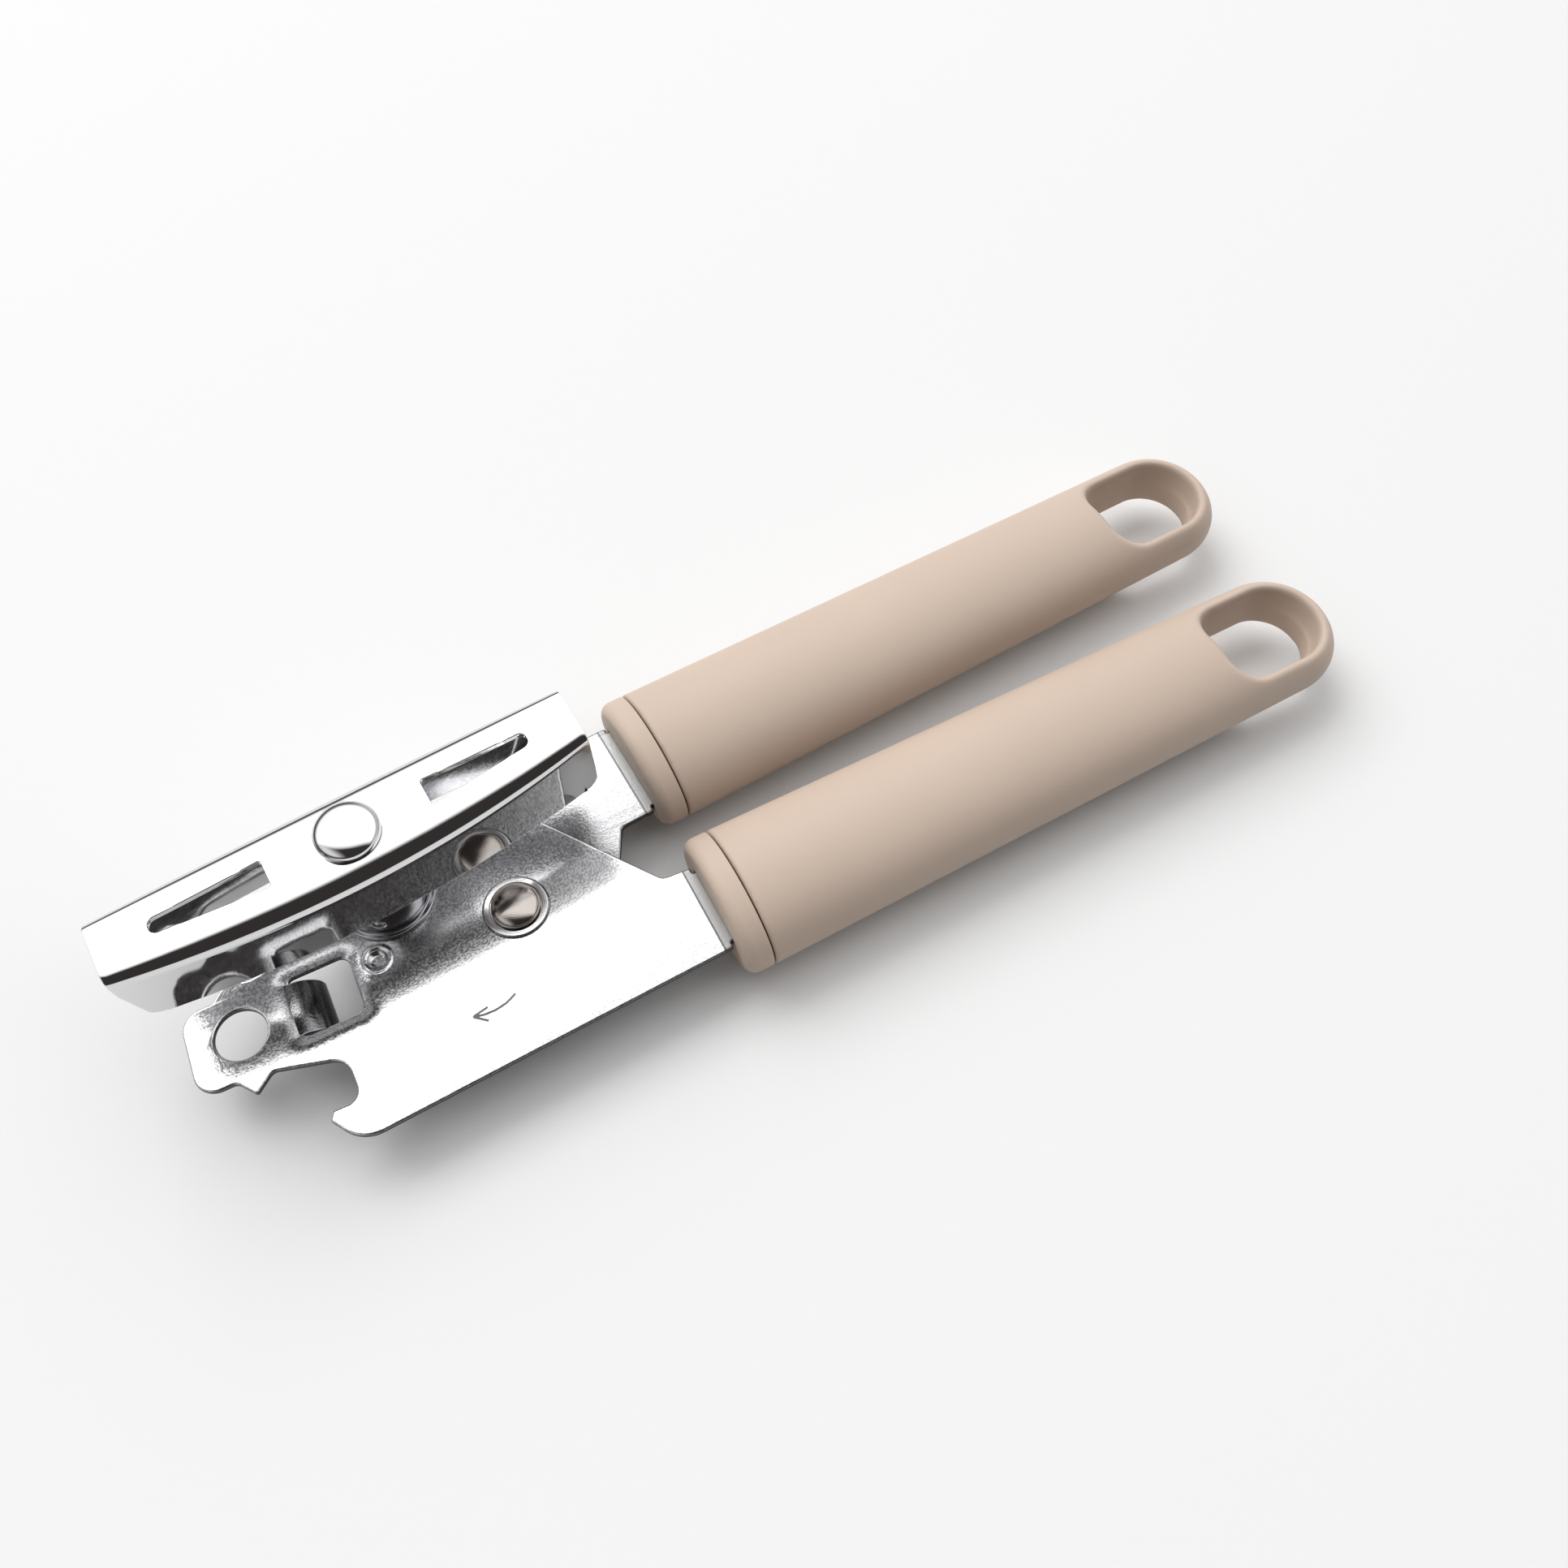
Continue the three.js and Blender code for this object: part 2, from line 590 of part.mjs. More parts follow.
function addHandle(lever, name, handle, plateBottom, plateTop) {
  const group = new THREE.Group();
  group.position.set(handle.x, handle.y, handleMiddle);
  group.rotation.z = degrees(handle.angle);
  const slot = tangSlot(handle, plateBottom, plateTop);
  piece(group, `${name}_cap`, cap().subtract(slot), beige);
  piece(group, `${name}_grip`, grip().subtract(slot), beige);
  lever.add(group);
}

addHandle(lowerLever, 'lower', lowerHandle, frontPlateBottom, frontPlateTop);
addHandle(upperLever, 'upper', upperHandle, rearPlateBottom, rearPlateTop);

export default opener;
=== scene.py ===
import math

import bmesh
import bpy
import numpy as np
from bpy.props import FloatProperty, FloatVectorProperty, IntProperty, PointerProperty
from mathutils import Matrix, Vector


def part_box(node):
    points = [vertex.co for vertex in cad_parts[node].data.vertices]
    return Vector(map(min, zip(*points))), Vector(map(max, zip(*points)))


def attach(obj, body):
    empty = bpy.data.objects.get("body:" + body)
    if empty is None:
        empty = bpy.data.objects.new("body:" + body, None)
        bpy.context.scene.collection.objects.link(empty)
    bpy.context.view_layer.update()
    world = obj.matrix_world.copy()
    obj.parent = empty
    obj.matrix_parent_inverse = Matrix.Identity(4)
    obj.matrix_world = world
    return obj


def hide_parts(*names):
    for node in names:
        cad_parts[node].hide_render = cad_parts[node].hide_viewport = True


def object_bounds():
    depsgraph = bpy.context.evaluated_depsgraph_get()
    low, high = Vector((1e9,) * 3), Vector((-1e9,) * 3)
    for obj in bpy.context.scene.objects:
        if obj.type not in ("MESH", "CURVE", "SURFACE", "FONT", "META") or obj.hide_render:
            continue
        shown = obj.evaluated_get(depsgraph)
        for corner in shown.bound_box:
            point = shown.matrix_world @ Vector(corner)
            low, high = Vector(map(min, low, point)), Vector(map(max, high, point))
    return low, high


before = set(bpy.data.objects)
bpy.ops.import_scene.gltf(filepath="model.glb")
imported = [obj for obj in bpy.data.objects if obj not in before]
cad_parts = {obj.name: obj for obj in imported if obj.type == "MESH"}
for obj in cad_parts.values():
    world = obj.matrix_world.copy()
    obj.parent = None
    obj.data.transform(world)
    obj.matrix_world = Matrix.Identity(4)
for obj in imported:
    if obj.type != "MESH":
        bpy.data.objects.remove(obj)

bl_info = {
    "name": "Can Opener Finishing",
    "version": (1, 0, 0),
    "blender": (4, 5, 0),
    "location": "3D View > Sidebar > Opener",
    "description": "Builds the visible pieces, finishes and studio of a hand can opener",
    "category": "Add Mesh",
}

CAD_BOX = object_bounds()
MM = 0.001
TAU = 2 * math.pi
ON_AXIS = 1e-6        # a turned profile's point nearer to its axis than this is one vertex
CLEARANCE = 0.15      # gap left between assembled pieces, in millimetres

# Plate outlines as (x, y, corner radius) in millimetres, without their tongues.
FRONT_OUTLINE = [
    (22.4, -5.8, 1.8), (3.0, 20.6, 6), (-26.8, 21.6, 9.4), (-28.6, 8.8, 4),
    (-40.8, 7.1, 3), (-43.6, 8.8, 1.6), (-46.2, 6.0, 1.4), (-51.4, 5.9, 3.2),
    (-51.9, -7.7, 3.4), (-46.3, -7.7, 1.4), (-44.1, -10.6, 0.4), (-41.2, -8.3, 1.4),
    (-31.0, -11.3, 3.2), (-30.8, -18.1, 2.0), (-35.0, -17.9, 0.3), (-35.8, -19.2, 0.4),
    (-32.6, -24.1, 5.5),
]
REAR_OUTLINE = [
    (11.0, 24.0, 6), (3.0, 11.2, 6), (-8.6, 10.2, 7), (-11.0, 1.0, 3),
    (-22.6, 1.0, 5.0), (-22.6, -9.2, 5.0), (12.6, -9.4, 7), (20.5, 6.2, 0.8),
]
GUIDE_WINDOW = [(-35.9, -5.2, 1.5), (-26.1, -5.2, 1.5), (-26.1, 4.5, 1.5), (-35.9, 4.5, 1.5)]
HANGING_HOLE = (-43.8, -0.7, 3.9)
PIVOT_SHANK = 2.5
STOP_DENT = (-22.0, 1.6, 1.7)
LOWER_HANDLE = (27.5, -13.7, math.radians(1.4), 7.65)     # x, y, angle, half width of the tongue
UPPER_HANDLE = (26.2, 15.9, math.radians(3.5), 9.2)
ARROW_STROKES = [
    [(-5.2, -13.2), (-7.0, -14.0), (-8.8, -14.3), (-10.6, -14.2), (-12.2, -13.8)],
    [(-12.2, -13.8), (-9.7, -13.3)],
    [(-12.2, -13.8), (-10.3, -15.4)],
]


# ---------------------------------------------------------------- user settings
class PlateSettings(bpy.types.PropertyGroup):
    """Sizes of the two sheet-metal plates, in millimetres unless a unit is shown."""

    edge_round: FloatProperty(
        name="Edge rounding", description="Radius of the die-rolled edges (mm)",
        default=0.4, min=0.05, max=0.55)
    arrow_width: FloatProperty(
        name="Arrow width", description="Width of the engraved arrow's line (mm)",
        default=0.48, min=0.1, max=0.8)
    tang_length: FloatProperty(
        name="Tang length", description="Part of a tongue inside its handle (mm)",
        default=18.0, min=5, max=30)
    shoulder: FloatProperty(
        name="Tang shoulder", description="Step from tongue to tang, each side (mm)",
        default=1.0, min=0.2, max=3)
    window_dish: FloatProperty(
        name="Window dish", description="Depth the face is dished at the guide window (mm)",
        default=0.6, min=0, max=0.8)
    dent_dish: FloatProperty(
        name="Dent dish", description="Depth the face is dished round the dent (mm)",
        default=0.35, min=0, max=0.8)
    dent_lip: FloatProperty(
        name="Dent lip", description="Height of the raised lip round the dent (mm)",
        default=0.22, min=0, max=0.4)
    guide_bend: FloatProperty(
        name="Rim guide bend", description="Outer radius of the guide tab's bend (mm)",
        default=4.9, min=2, max=8)


class KeySettings(bpy.types.PropertyGroup):
    """Sizes of the folded turning key (mm)."""

    length: FloatProperty(
        name="Length", description="Length along the key (mm)", default=72.4, min=40, max=100)
    half_width: FloatProperty(name="Half width", description="Half width at the shaft (mm)", default=7.8)
    end_half_width: FloatProperty(
        name="End half width", description="Half width at the ends (mm)", default=5.3)
    wall: FloatProperty(name="Sheet thickness", description="Thickness of the sheet (mm)", default=1.0)
    bend: FloatProperty(name="Bend radius", description="Outer radius of the two folds (mm)", default=1.9)
    bend_swell: FloatProperty(
        name="Bend swell", description="How much fuller the folds are at the middle (mm)",
        default=1.4, min=0, max=2)
    flange: FloatProperty(
        name="Flange depth", description="Web's top to the flange's edge (mm)", default=13.2)
    end_rise: FloatProperty(name="End rise", description="How much the ends curve up (mm)", default=2.1)
    angle: FloatProperty(
        name="Rest angle", description="Angle of the key at rest", default=math.radians(5.1), subtype="ANGLE")


class GripSettings(bpy.types.PropertyGroup):
    """Sizes of the moulded caps and grips (mm)."""

    length: FloatProperty(name="Handle length", description="Cap face to loop end (mm)", default=120.6)
    width: FloatProperty(name="Width", description="Width at the cap (mm)", default=24.6)
    end_width: FloatProperty(
        name="End width", description="Width where the end starts to round (mm)", default=22.4)
    thickness: FloatProperty(name="Thickness", description="Thickness at the cap (mm)", default=16.2)
    end_round: FloatProperty(name="End rounding", description="Length of the rounded end (mm)", default=11.0)
    cap_length: FloatProperty(name="Cap length", description="Length of the end cap (mm)", default=4.3)
    cap_edge: FloatProperty(name="Cap edge", description="Radius of the cap's front edge (mm)", default=2.0)
    loop_length: FloatProperty(
        name="Loop length", description="Length of the hanging loop (mm)", default=20.8)
    loop_half_width: FloatProperty(
        name="Loop half width", description="Half width of the loop (mm)", default=7.8)
    loop_rim: FloatProperty(name="Loop rim", description="Rim left at the end of the loop (mm)", default=3.4)
    loop_edge: FloatProperty(
        name="Loop edge", description="Rounding of the loop's rims (mm)", default=1.7, min=0.3, max=3)
    loop_draft: FloatProperty(
        name="Loop draft", description="Narrowing of the loop down to its parting line (mm)",
        default=0.45, min=0, max=1.5)
    loop_ledge: FloatProperty(
        name="Loop ledge", description="Step in the loop's wall at the parting line (mm)",
        default=0.3, min=0, max=1)
    cell: FloatProperty(
        name="Skin detail", description="Cell size of the moulded skin (mm)", default=0.5, min=0.25, max=1.5)


class FinishSettings(bpy.types.PropertyGroup):
    """Colours and amounts of the finishes."""

    plate: FloatVectorProperty(
        name="Plated plate", description="Colour of the satin plating",
        subtype="COLOR", default=(0.74, 0.74, 0.75))
    chrome: FloatVectorProperty(
        name="Key chrome", description="Colour of the mirror chrome",
        subtype="COLOR", default=(0.72, 0.72, 0.73))
    steel: FloatVectorProperty(
        name="Turned steel", description="Colour of the turned steel",
        subtype="COLOR", default=(0.56, 0.55, 0.54))
    # the boss colour is partly painted reflection: dark polished steel, set darker still to stand for the
    # key's dark flange it reflects
    boss: FloatVectorProperty(
        name="Boss", description="Colour of the polished boss", subtype="COLOR", default=(0.42, 0.42, 0.44))
    plastic: FloatVectorProperty(
        name="Grip plastic", description="Colour of the moulded plastic",
        subtype="COLOR", default=(0.50, 0.398, 0.325))
    grain: FloatProperty(
        name="Plate grain", description="Height of the plates' satin grain (mm)",
        default=0.018, min=0, max=0.1)


class StageSettings(bpy.types.PropertyGroup):
    """The camera, floor and lights."""

    camera: FloatVectorProperty(
        name="Camera", description="Camera position",
        subtype="TRANSLATION", unit="LENGTH", default=(-0.0006, -0.0930, 0.19025))
    target: FloatVectorProperty(
        name="Target", description="Point the camera looks at",
        subtype="TRANSLATION", unit="LENGTH", default=(0.04716, 0.00075, 0.00505))
    lens: FloatProperty(name="Lens", description="Focal length on a 36 mm sensor (mm)", default=29.81)
    floor: FloatVectorProperty(
        name="Floor", description="Colour of the floor", subtype="COLOR", default=(0.72, 0.72, 0.72))
    sky: FloatProperty(name="Overhead light", description="Strength of the light tent", default=1.48, min=0)
    facets: IntProperty(
        name="Round detail", description="Sides of a turned piece", default=96, min=24, max=256)


def settings():
    """The settings kept in the scene."""
    return bpy.context.scene.opener


class OpenerSettings(bpy.types.PropertyGroup):
    """Everything a user may change."""

    plate: PointerProperty(type=PlateSettings)
    key: PointerProperty(type=KeySettings)
    grip: PointerProperty(type=GripSettings)
    finish: PointerProperty(type=FinishSettings)
    stage: PointerProperty(type=StageSettings)


# ---------------------------------------------------------------- measuring the frame
class Span:
    """Where a turned node stands: axis, outer radius and levels, in millimetres."""

    def __init__(self, node):
        low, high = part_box(node)
        self.x = (low.x + high.x) / 2 / MM
        self.y = (low.y + high.y) / 2 / MM
        self.radius = (high.x - low.x) / 2 / MM
        self.bottom = low.z / MM
        self.top = high.z / MM


# ---------------------------------------------------------------- outlines
def arc(centre, radius, start, end, step=math.radians(7)):
    """Points along an arc, from one angle to another."""
    count = max(2, math.ceil(abs(end - start) / step))
    angles = [start + (end - start) * i / count for i in range(count + 1)]
    return [(centre[0] + radius * math.cos(a), centre[1] + radius * math.sin(a)) for a in angles]


def rounded(corners, closed=True):
    """Points of an outline whose (x, y, radius) corners are rounded by arcs."""
    points = []
    count = len(corners)
    for i, (x, y, radius) in enumerate(corners):
        here = Vector((x, y))
        if (not closed and i in (0, count - 1)) or radius <= 0:
            points.append((x, y))
            continue
        back = (Vector(corners[i - 1][:2]) - here).normalized()
        ahead = (Vector(corners[(i + 1) % count][:2]) - here).normalized()
        half = math.acos(max(-1, min(1, back.dot(ahead)))) / 2
        centre = here + (back + ahead).normalized() * (radius / math.sin(half))
        first = here + back * (radius / math.tan(half)) - centre
        last = here + ahead * (radius / math.tan(half)) - centre
        start = math.atan2(first.y, first.x)
        sweep = (math.atan2(last.y, last.x) - start + math.pi) % TAU - math.pi
        points += arc(centre, radius, start, start + sweep)
    return points


def circle(x, y, radius, count=72, first=0.0):
    """Points round a circle."""
    angles = [first + TAU * i / count for i in range(count)]
    return [(x + radius * math.cos(a), y + radius * math.sin(a)) for a in angles]


TONGUE_START = 0.6    # the tongue's corners are measured from this far outside the cap


def tongue(handle):
    """Corners of a plate's tongue and tang, from the low side to the high side."""
    plate = settings().plate
    x, y, angle, half = handle
    root, end, tang_half = 0.3, plate.tang_length, half - plate.shoulder
    outer, inner, tip = 0.5, 0.2, 1.5
    local = [
        (root, -half, outer), (root, -half + plate.shoulder, inner), (end, -half + plate.shoulder, tip),
        (end, tang_half, tip), (root, tang_half, inner), (root, half, outer),
    ]
    cos, sin = math.cos(angle), math.sin(angle)
    return [(x + (a - TONGUE_START) * cos - b * sin, y + (a - TONGUE_START) * sin + b * cos, r)
            for a, b, r in local]


# ---------------------------------------------------------------- mesh makers
WELD = 1.5e-6         # vertices closer than this are one, in metres


def bridged(bm, first, last):
    """Closes a solid between two matching loops of vertices."""
    bm.faces.new(first)
    bm.faces.new(last)
    count = len(first)
    for i in range(count):
        j = (i + 1) % count
        bm.faces.new((first[i], first[j], last[j], last[i]))


def link(name, data):
    """A new object in the scene that holds a mesh, curve, light or camera."""
    obj = bpy.data.objects.new(name, data)
    bpy.context.scene.collection.objects.link(obj)
    return obj


def mesh_from(name, bm):
    """A mesh made from an edited one, with its normals facing out."""
    bmesh.ops.remove_doubles(bm, verts=bm.verts, dist=2e-7)
    bmesh.ops.recalc_face_normals(bm, faces=bm.faces)
    mesh = bpy.data.meshes.new(name)
    bm.to_mesh(mesh)
    bm.free()
    return mesh


def baked(obj):
    """The object's mesh with its modifiers applied."""
    bpy.context.view_layer.update()
    graph = bpy.context.evaluated_depsgraph_get()
    return bpy.data.meshes.new_from_object(obj.evaluated_get(graph))


def apply_modifiers(obj):
    """Turns what an object's modifiers show into its own mesh."""
    mesh = baked(obj)
    obj.modifiers.clear()
    old = obj.data
    obj.data = mesh
    bpy.data.meshes.remove(old)
    return obj


def welded(obj):
    """Welds what a cut or a bevel leaves too close together, and closes any sliver left open by that."""
    bm = bmesh.new()
    bm.from_mesh(obj.data)
    bmesh.ops.remove_doubles(bm, verts=bm.verts, dist=WELD)
    bmesh.ops.dissolve_degenerate(bm, edges=bm.edges, dist=WELD)
    open_edges = [edge for edge in bm.edges if edge.is_boundary]
    if open_edges:
        bmesh.ops.holes_fill(bm, edges=open_edges, sides=8)
    bm.to_mesh(obj.data)
    bm.free()
    return obj


def boolean(obj, tool, operation="DIFFERENCE"):
    """Cuts a tool out of an object, or keeps what both share, and drops the tool."""
    modifier = obj.modifiers.new("cut", "BOOLEAN")
    modifier.operation = operation
    modifier.material_mode = "TRANSFER" if tool.data.materials else "INDEX"
    modifier.solver = "EXACT"
    modifier.object = tool
    apply_modifiers(obj)
    bpy.data.objects.remove(tool)
    return welded(obj)


def prism(name, points, bottom, top):
    """An outline in millimetres, extruded between two levels."""
    bm = bmesh.new()
    low = [bm.verts.new((x * MM, y * MM, bottom * MM)) for x, y in points]
    high = [bm.verts.new((x * MM, y * MM, top * MM)) for x, y in points]
    bridged(bm, low, high)
    return link(name, mesh_from(name, bm))


def sheet_plate(name, outlines, bottom, top, edge):
    """A plate with holes and rounded edges. The first outline is the outside."""
    curve = bpy.data.curves.new(name, "CURVE")
    curve.dimensions = "2D"
    curve.fill_mode = "BOTH"
    curve.extrude = ((top - bottom) / 2 - edge) * MM
    curve.bevel_depth = edge * MM
    curve.bevel_resolution = 3
    curve.offset = -edge * MM
    for points in outlines:
        spline = curve.splines.new("POLY")
        spline.points.add(len(points) - 1)
        for point, (x, y) in zip(spline.points, points):
            point.co = (x * MM, y * MM, 0, 1)
        spline.use_cyclic_u = True
    source = link(name + "_outline", curve)
    mesh = baked(source)
    bpy.data.objects.remove(source)
    mesh.transform(Matrix.Translation((0, 0, (bottom + top) / 2 * MM)))
    bm = bmesh.new()
    bm.from_mesh(mesh)
    bpy.data.meshes.remove(mesh)
    return link(name, mesh_from(name, bm))


def turned(name, x, y, profile, sides=None):
    """A solid of revolution about a vertical axis from (radius, level) points in millimetres."""
    sides = sides or settings().stage.facets
    closed = profile[0] == profile[-1]
    points = profile[:-1] if closed else profile
    bm = bmesh.new()
    rings = []
    for radius, level in points:
        if radius < ON_AXIS:
            rings.append([bm.verts.new((x * MM, y * MM, level * MM))])
            continue
        rings.append([
            bm.verts.new(((x + radius * math.cos(TAU * i / sides)) * MM,
                          (y + radius * math.sin(TAU * i / sides)) * MM, level * MM))
            for i in range(sides)
        ])
    pairs = list(zip(rings, rings[1:] + rings[:1]))
    for below, above in pairs if closed else pairs[:-1]:
        for i in range(sides):
            j = (i + 1) % sides
            lower = [below[i % len(below)], below[j % len(below)]]
            upper = [above[j % len(above)], above[i % len(above)]]
            unique = list(dict.fromkeys(lower + upper))
            if len(unique) > 2:
                bm.faces.new(unique)
    return link(name, mesh_from(name, bm))


def ring_profile(inner, outer, bottom, top, edge):
    """The rounded closed profile of a washer or sleeve."""
    corners = [(inner, bottom, edge), (outer, bottom, edge), (outer, top, edge), (inner, top, edge)]
    points = rounded(corners)
    return points + points[:1]


def joined(obj, *others):
    """One object from several, their meshes kept as separate shells."""
    bm = bmesh.new()
    slots = []
    for part in (obj, *others):
        own = list(part.data.materials) or slots[:1]
        slots += [entry for entry in own if entry not in slots]
        first = len(bm.faces)
        bm.from_mesh(part.data)
        bm.faces.ensure_lookup_table()
        for face in bm.faces[first:]:
            face.material_index = slots.index(own[face.material_index])
    mesh = bpy.data.meshes.new(obj.data.name)
    bm.to_mesh(mesh)
    bm.free()
    for entry in slots:
        mesh.materials.append(entry)
    obj.data = mesh
    for part in others:
        bpy.data.objects.remove(part)
    return obj


def finished(obj, body, node, finish, angle=34, weighted=True):
    """Shades a piece, gives it its finish and puts it on its body in place of its CAD node."""
    obj.data.shade_smooth()
    obj.data.set_sharp_from_angle(angle=math.radians(angle))
    if weighted:
        normals = obj.modifiers.new("weighted normals", "WEIGHTED_NORMAL")
        normals.keep_sharp = True
        normals.weight = 80
    if not obj.data.materials:
        obj.data.materials.append(finish)
    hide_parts(node)
    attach(obj, body)
    return obj


# ---------------------------------------------------------------- node helpers
def new_group(name, inputs, outputs):
    """An empty shader node group with float, vector or colour sockets."""
    group = bpy.data.node_groups.new(name, "ShaderNodeTree")
    kinds = {"float": "NodeSocketFloat", "vector": "NodeSocketVector", "color": "NodeSocketColor"}
    for label, kind, value in inputs:
        socket = group.interface.new_socket(name=label, in_out="INPUT", socket_type=kinds[kind])
        socket.default_value = value
    for label, kind in outputs:
        group.interface.new_socket(name=label, in_out="OUTPUT", socket_type=kinds[kind])
    return group, group.nodes.new("NodeGroupInput"), group.nodes.new("NodeGroupOutput")


def plug(tree, value, socket):
    """Sets a socket to a number, vector or colour, or links an output to it."""
    if value is None:
        return
    if isinstance(value, bpy.types.NodeSocket):
        tree.links.new(value, socket)
    else:
        socket.default_value = (*value[:3], 1) if socket.type == "RGBA" else value


def math_node(tree, operation, a, b=None):
    """The result of one arithmetic node."""
    made = tree.nodes.new("ShaderNodeMath")
    made.operation = operation
    plug(tree, a, made.inputs[0])
    plug(tree, b, made.inputs[1])
    return made.outputs[0]


def vector_math(tree, operation, a, b=None):
    """One vector arithmetic node."""
    made = tree.nodes.new("ShaderNodeVectorMath")
    made.operation = operation
    plug(tree, a, made.inputs[0])
    plug(tree, b, made.inputs[1])
    return made.outputs["Value" if operation in {"LENGTH", "DOT_PRODUCT"} else "Vector"]


def ranged(tree, value, low, high, to_low, to_high, smooth=False):
    """A value carried from one range into another."""
    made = tree.nodes.new("ShaderNodeMapRange")
    made.interpolation_type = "SMOOTHSTEP" if smooth else "LINEAR"
    tree.links.new(value, made.inputs["Value"])
    limits = {"From Min": low, "From Max": high, "To Min": to_low, "To Max": to_high}
    for label, number in limits.items():
        plug(tree, number, made.inputs[label])
    return made.outputs["Result"]


def noise(tree, vector, scale, detail=3.0, roughness=0.55):
    """The value of a noise texture."""
    made = tree.nodes.new("ShaderNodeTexNoise")
    plug(tree, scale, made.inputs["Scale"])
    plug(tree, detail, made.inputs["Detail"])
    plug(tree, roughness, made.inputs["Roughness"])
    tree.links.new(vector, made.inputs["Vector"])
    return made.outputs["Fac"]


def blank_material(name):
    """A new material, its tree, its main shader and the object's own coordinates."""
    finish = bpy.data.materials.new(name)
    finish.use_nodes = True
    tree = finish.node_tree
    shader = tree.nodes["Principled BSDF"]
    place = tree.nodes.new("ShaderNodeTexCoord").outputs["Object"]
    return finish, tree, shader, place


def mixed(tree, factor, a, b):
    """The colour between a and b that a mask picks."""
    made = tree.nodes.new("ShaderNodeMix")
    made.data_type = "RGBA"
    sockets = {socket.identifier: socket for socket in made.inputs}
    for key, value in (("Factor_Float", factor), ("A_Color", a), ("B_Color", b)):
        plug(tree, value, sockets[key])
    return next(socket for socket in made.outputs if socket.identifier == "Result_Color")


def dimmed(colour, share):
    """A colour multiplied down by a factor."""
    return tuple(channel * share for channel in colour)


def bumped(tree, shader, height, strength, distance):
    """Tilts a shader's normal by a height."""
    bump = tree.nodes.new("ShaderNodeBump")
    plug(tree, strength, bump.inputs["Strength"])
    plug(tree, distance, bump.inputs["Distance"])
    tree.links.new(height, bump.inputs["Height"])
    tree.links.new(bump.outputs["Normal"], shader.inputs["Normal"])


# ---------------------------------------------------------------- shared effects
NO_VECTOR = (0, 0, 0)


def satin_grain_group():
    """A blasted satin skin: a fine height and a matching roughness."""
    group, ins, outs = new_group(
        "satin_grain",
        [("Vector", "vector", NO_VECTOR), ("Scale", "float", 5000.0),
         ("Low", "float", 0.2), ("High", "float", 0.4)],
        [("Height", "float"), ("Roughness", "float")],
    )
    fine = noise(group, ins.outputs["Vector"], ins.outputs["Scale"], 2.0, 0.5)
    group.links.new(fine, outs.inputs["Height"])
    spread = ranged(group, fine, 0.3, 0.7, ins.outputs["Low"], ins.outputs["High"])
    group.links.new(spread, outs.inputs["Roughness"])
    return group


def edge_wear_group():
    """A mask of worn convex edges, broken up by noise."""
    group, ins, outs = new_group(
        "edge_wear", [("Vector", "vector", NO_VECTOR), ("Amount", "float", 0.5)], [("Mask", "float")])
    point = group.nodes.new("ShaderNodeNewGeometry").outputs["Pointiness"]
    edge = ranged(group, point, 0.51, 0.58, 0, 1, smooth=True)
    patch = ranged(group, noise(group, ins.outputs["Vector"], 900, 3), 0.35, 0.65, 0.3, 1)
    worn = math_node(group, "MULTIPLY", edge, patch)
    group.links.new(math_node(group, "MULTIPLY", worn, ins.outputs["Amount"]), outs.inputs["Mask"])
    return group


def handling_marks_group():
    """Faint smears and hairline scratches from handling."""
    group, ins, outs = new_group(
        "handling_marks", [("Vector", "vector", NO_VECTOR), ("Amount", "float", 0.5)],
        [("Smear", "float"), ("Scratch", "float")])
    smear = ranged(group, noise(group, ins.outputs["Vector"], 90, 4, 0.6), 0.42, 0.72, 0, 1, smooth=True)
    hairlines = vector_math(group, "MULTIPLY", ins.outputs["Vector"], (40, 1400, 1400))
    scratch = ranged(group, noise(group, hairlines, 1.0, 2), 0.68, 0.74, 0, 1)
    group.links.new(math_node(group, "MULTIPLY", smear, ins.outputs["Amount"]), outs.inputs["Smear"])
    group.links.new(math_node(group, "MULTIPLY", scratch, ins.outputs["Amount"]), outs.inputs["Scratch"])
    return group


def turned_rings_group():
    """Fine tool marks in circles round a vertical axis."""
    group, ins, outs = new_group(
        "turned_rings",
        [("Vector", "vector", NO_VECTOR), ("Centre", "vector", NO_VECTOR), ("Pitch", "float", 0.00018)],
        [("Height", "float")])
    local = vector_math(group, "SUBTRACT", ins.outputs["Vector"], ins.outputs["Centre"])
    distance = vector_math(group, "LENGTH", vector_math(group, "MULTIPLY", local, (1, 1, 0)))
    turns = math_node(group, "DIVIDE", distance, ins.outputs["Pitch"])
    wave = math_node(group, "SINE", math_node(group, "MULTIPLY", turns, TAU))
    rough = noise(group, ins.outputs["Vector"], 2500, 2)
    height = math_node(group, "ADD", math_node(group, "MULTIPLY", wave, 0.5), rough)
    group.links.new(height, outs.inputs["Height"])
    return group


def cut_edge_and_shade_group():
    """A mask of the sheet's cut edges, told by faces that stand upright on the piece; the plating roughens
    them and darkens them with painted shade.
    """
    group, ins, outs = new_group("cut_edge_and_painted_shade", [("Normal", "vector", (0, 0, 1))], [("Mask", "float")])
    split = group.nodes.new("ShaderNodeSeparateXYZ")
    group.links.new(ins.outputs["Normal"], split.inputs[0])
    upright = math_node(group, "ABSOLUTE", split.outputs["Z"])
    group.links.new(ranged(group, upright, 0.3, 0.85, 1, 0, smooth=True), outs.inputs["Mask"])
    return group


BAND_START = -1.7 * MM     # where the dull band starts, outside the cap's face
BAND_LINE = 0.22 * MM      # width of the fine line along it


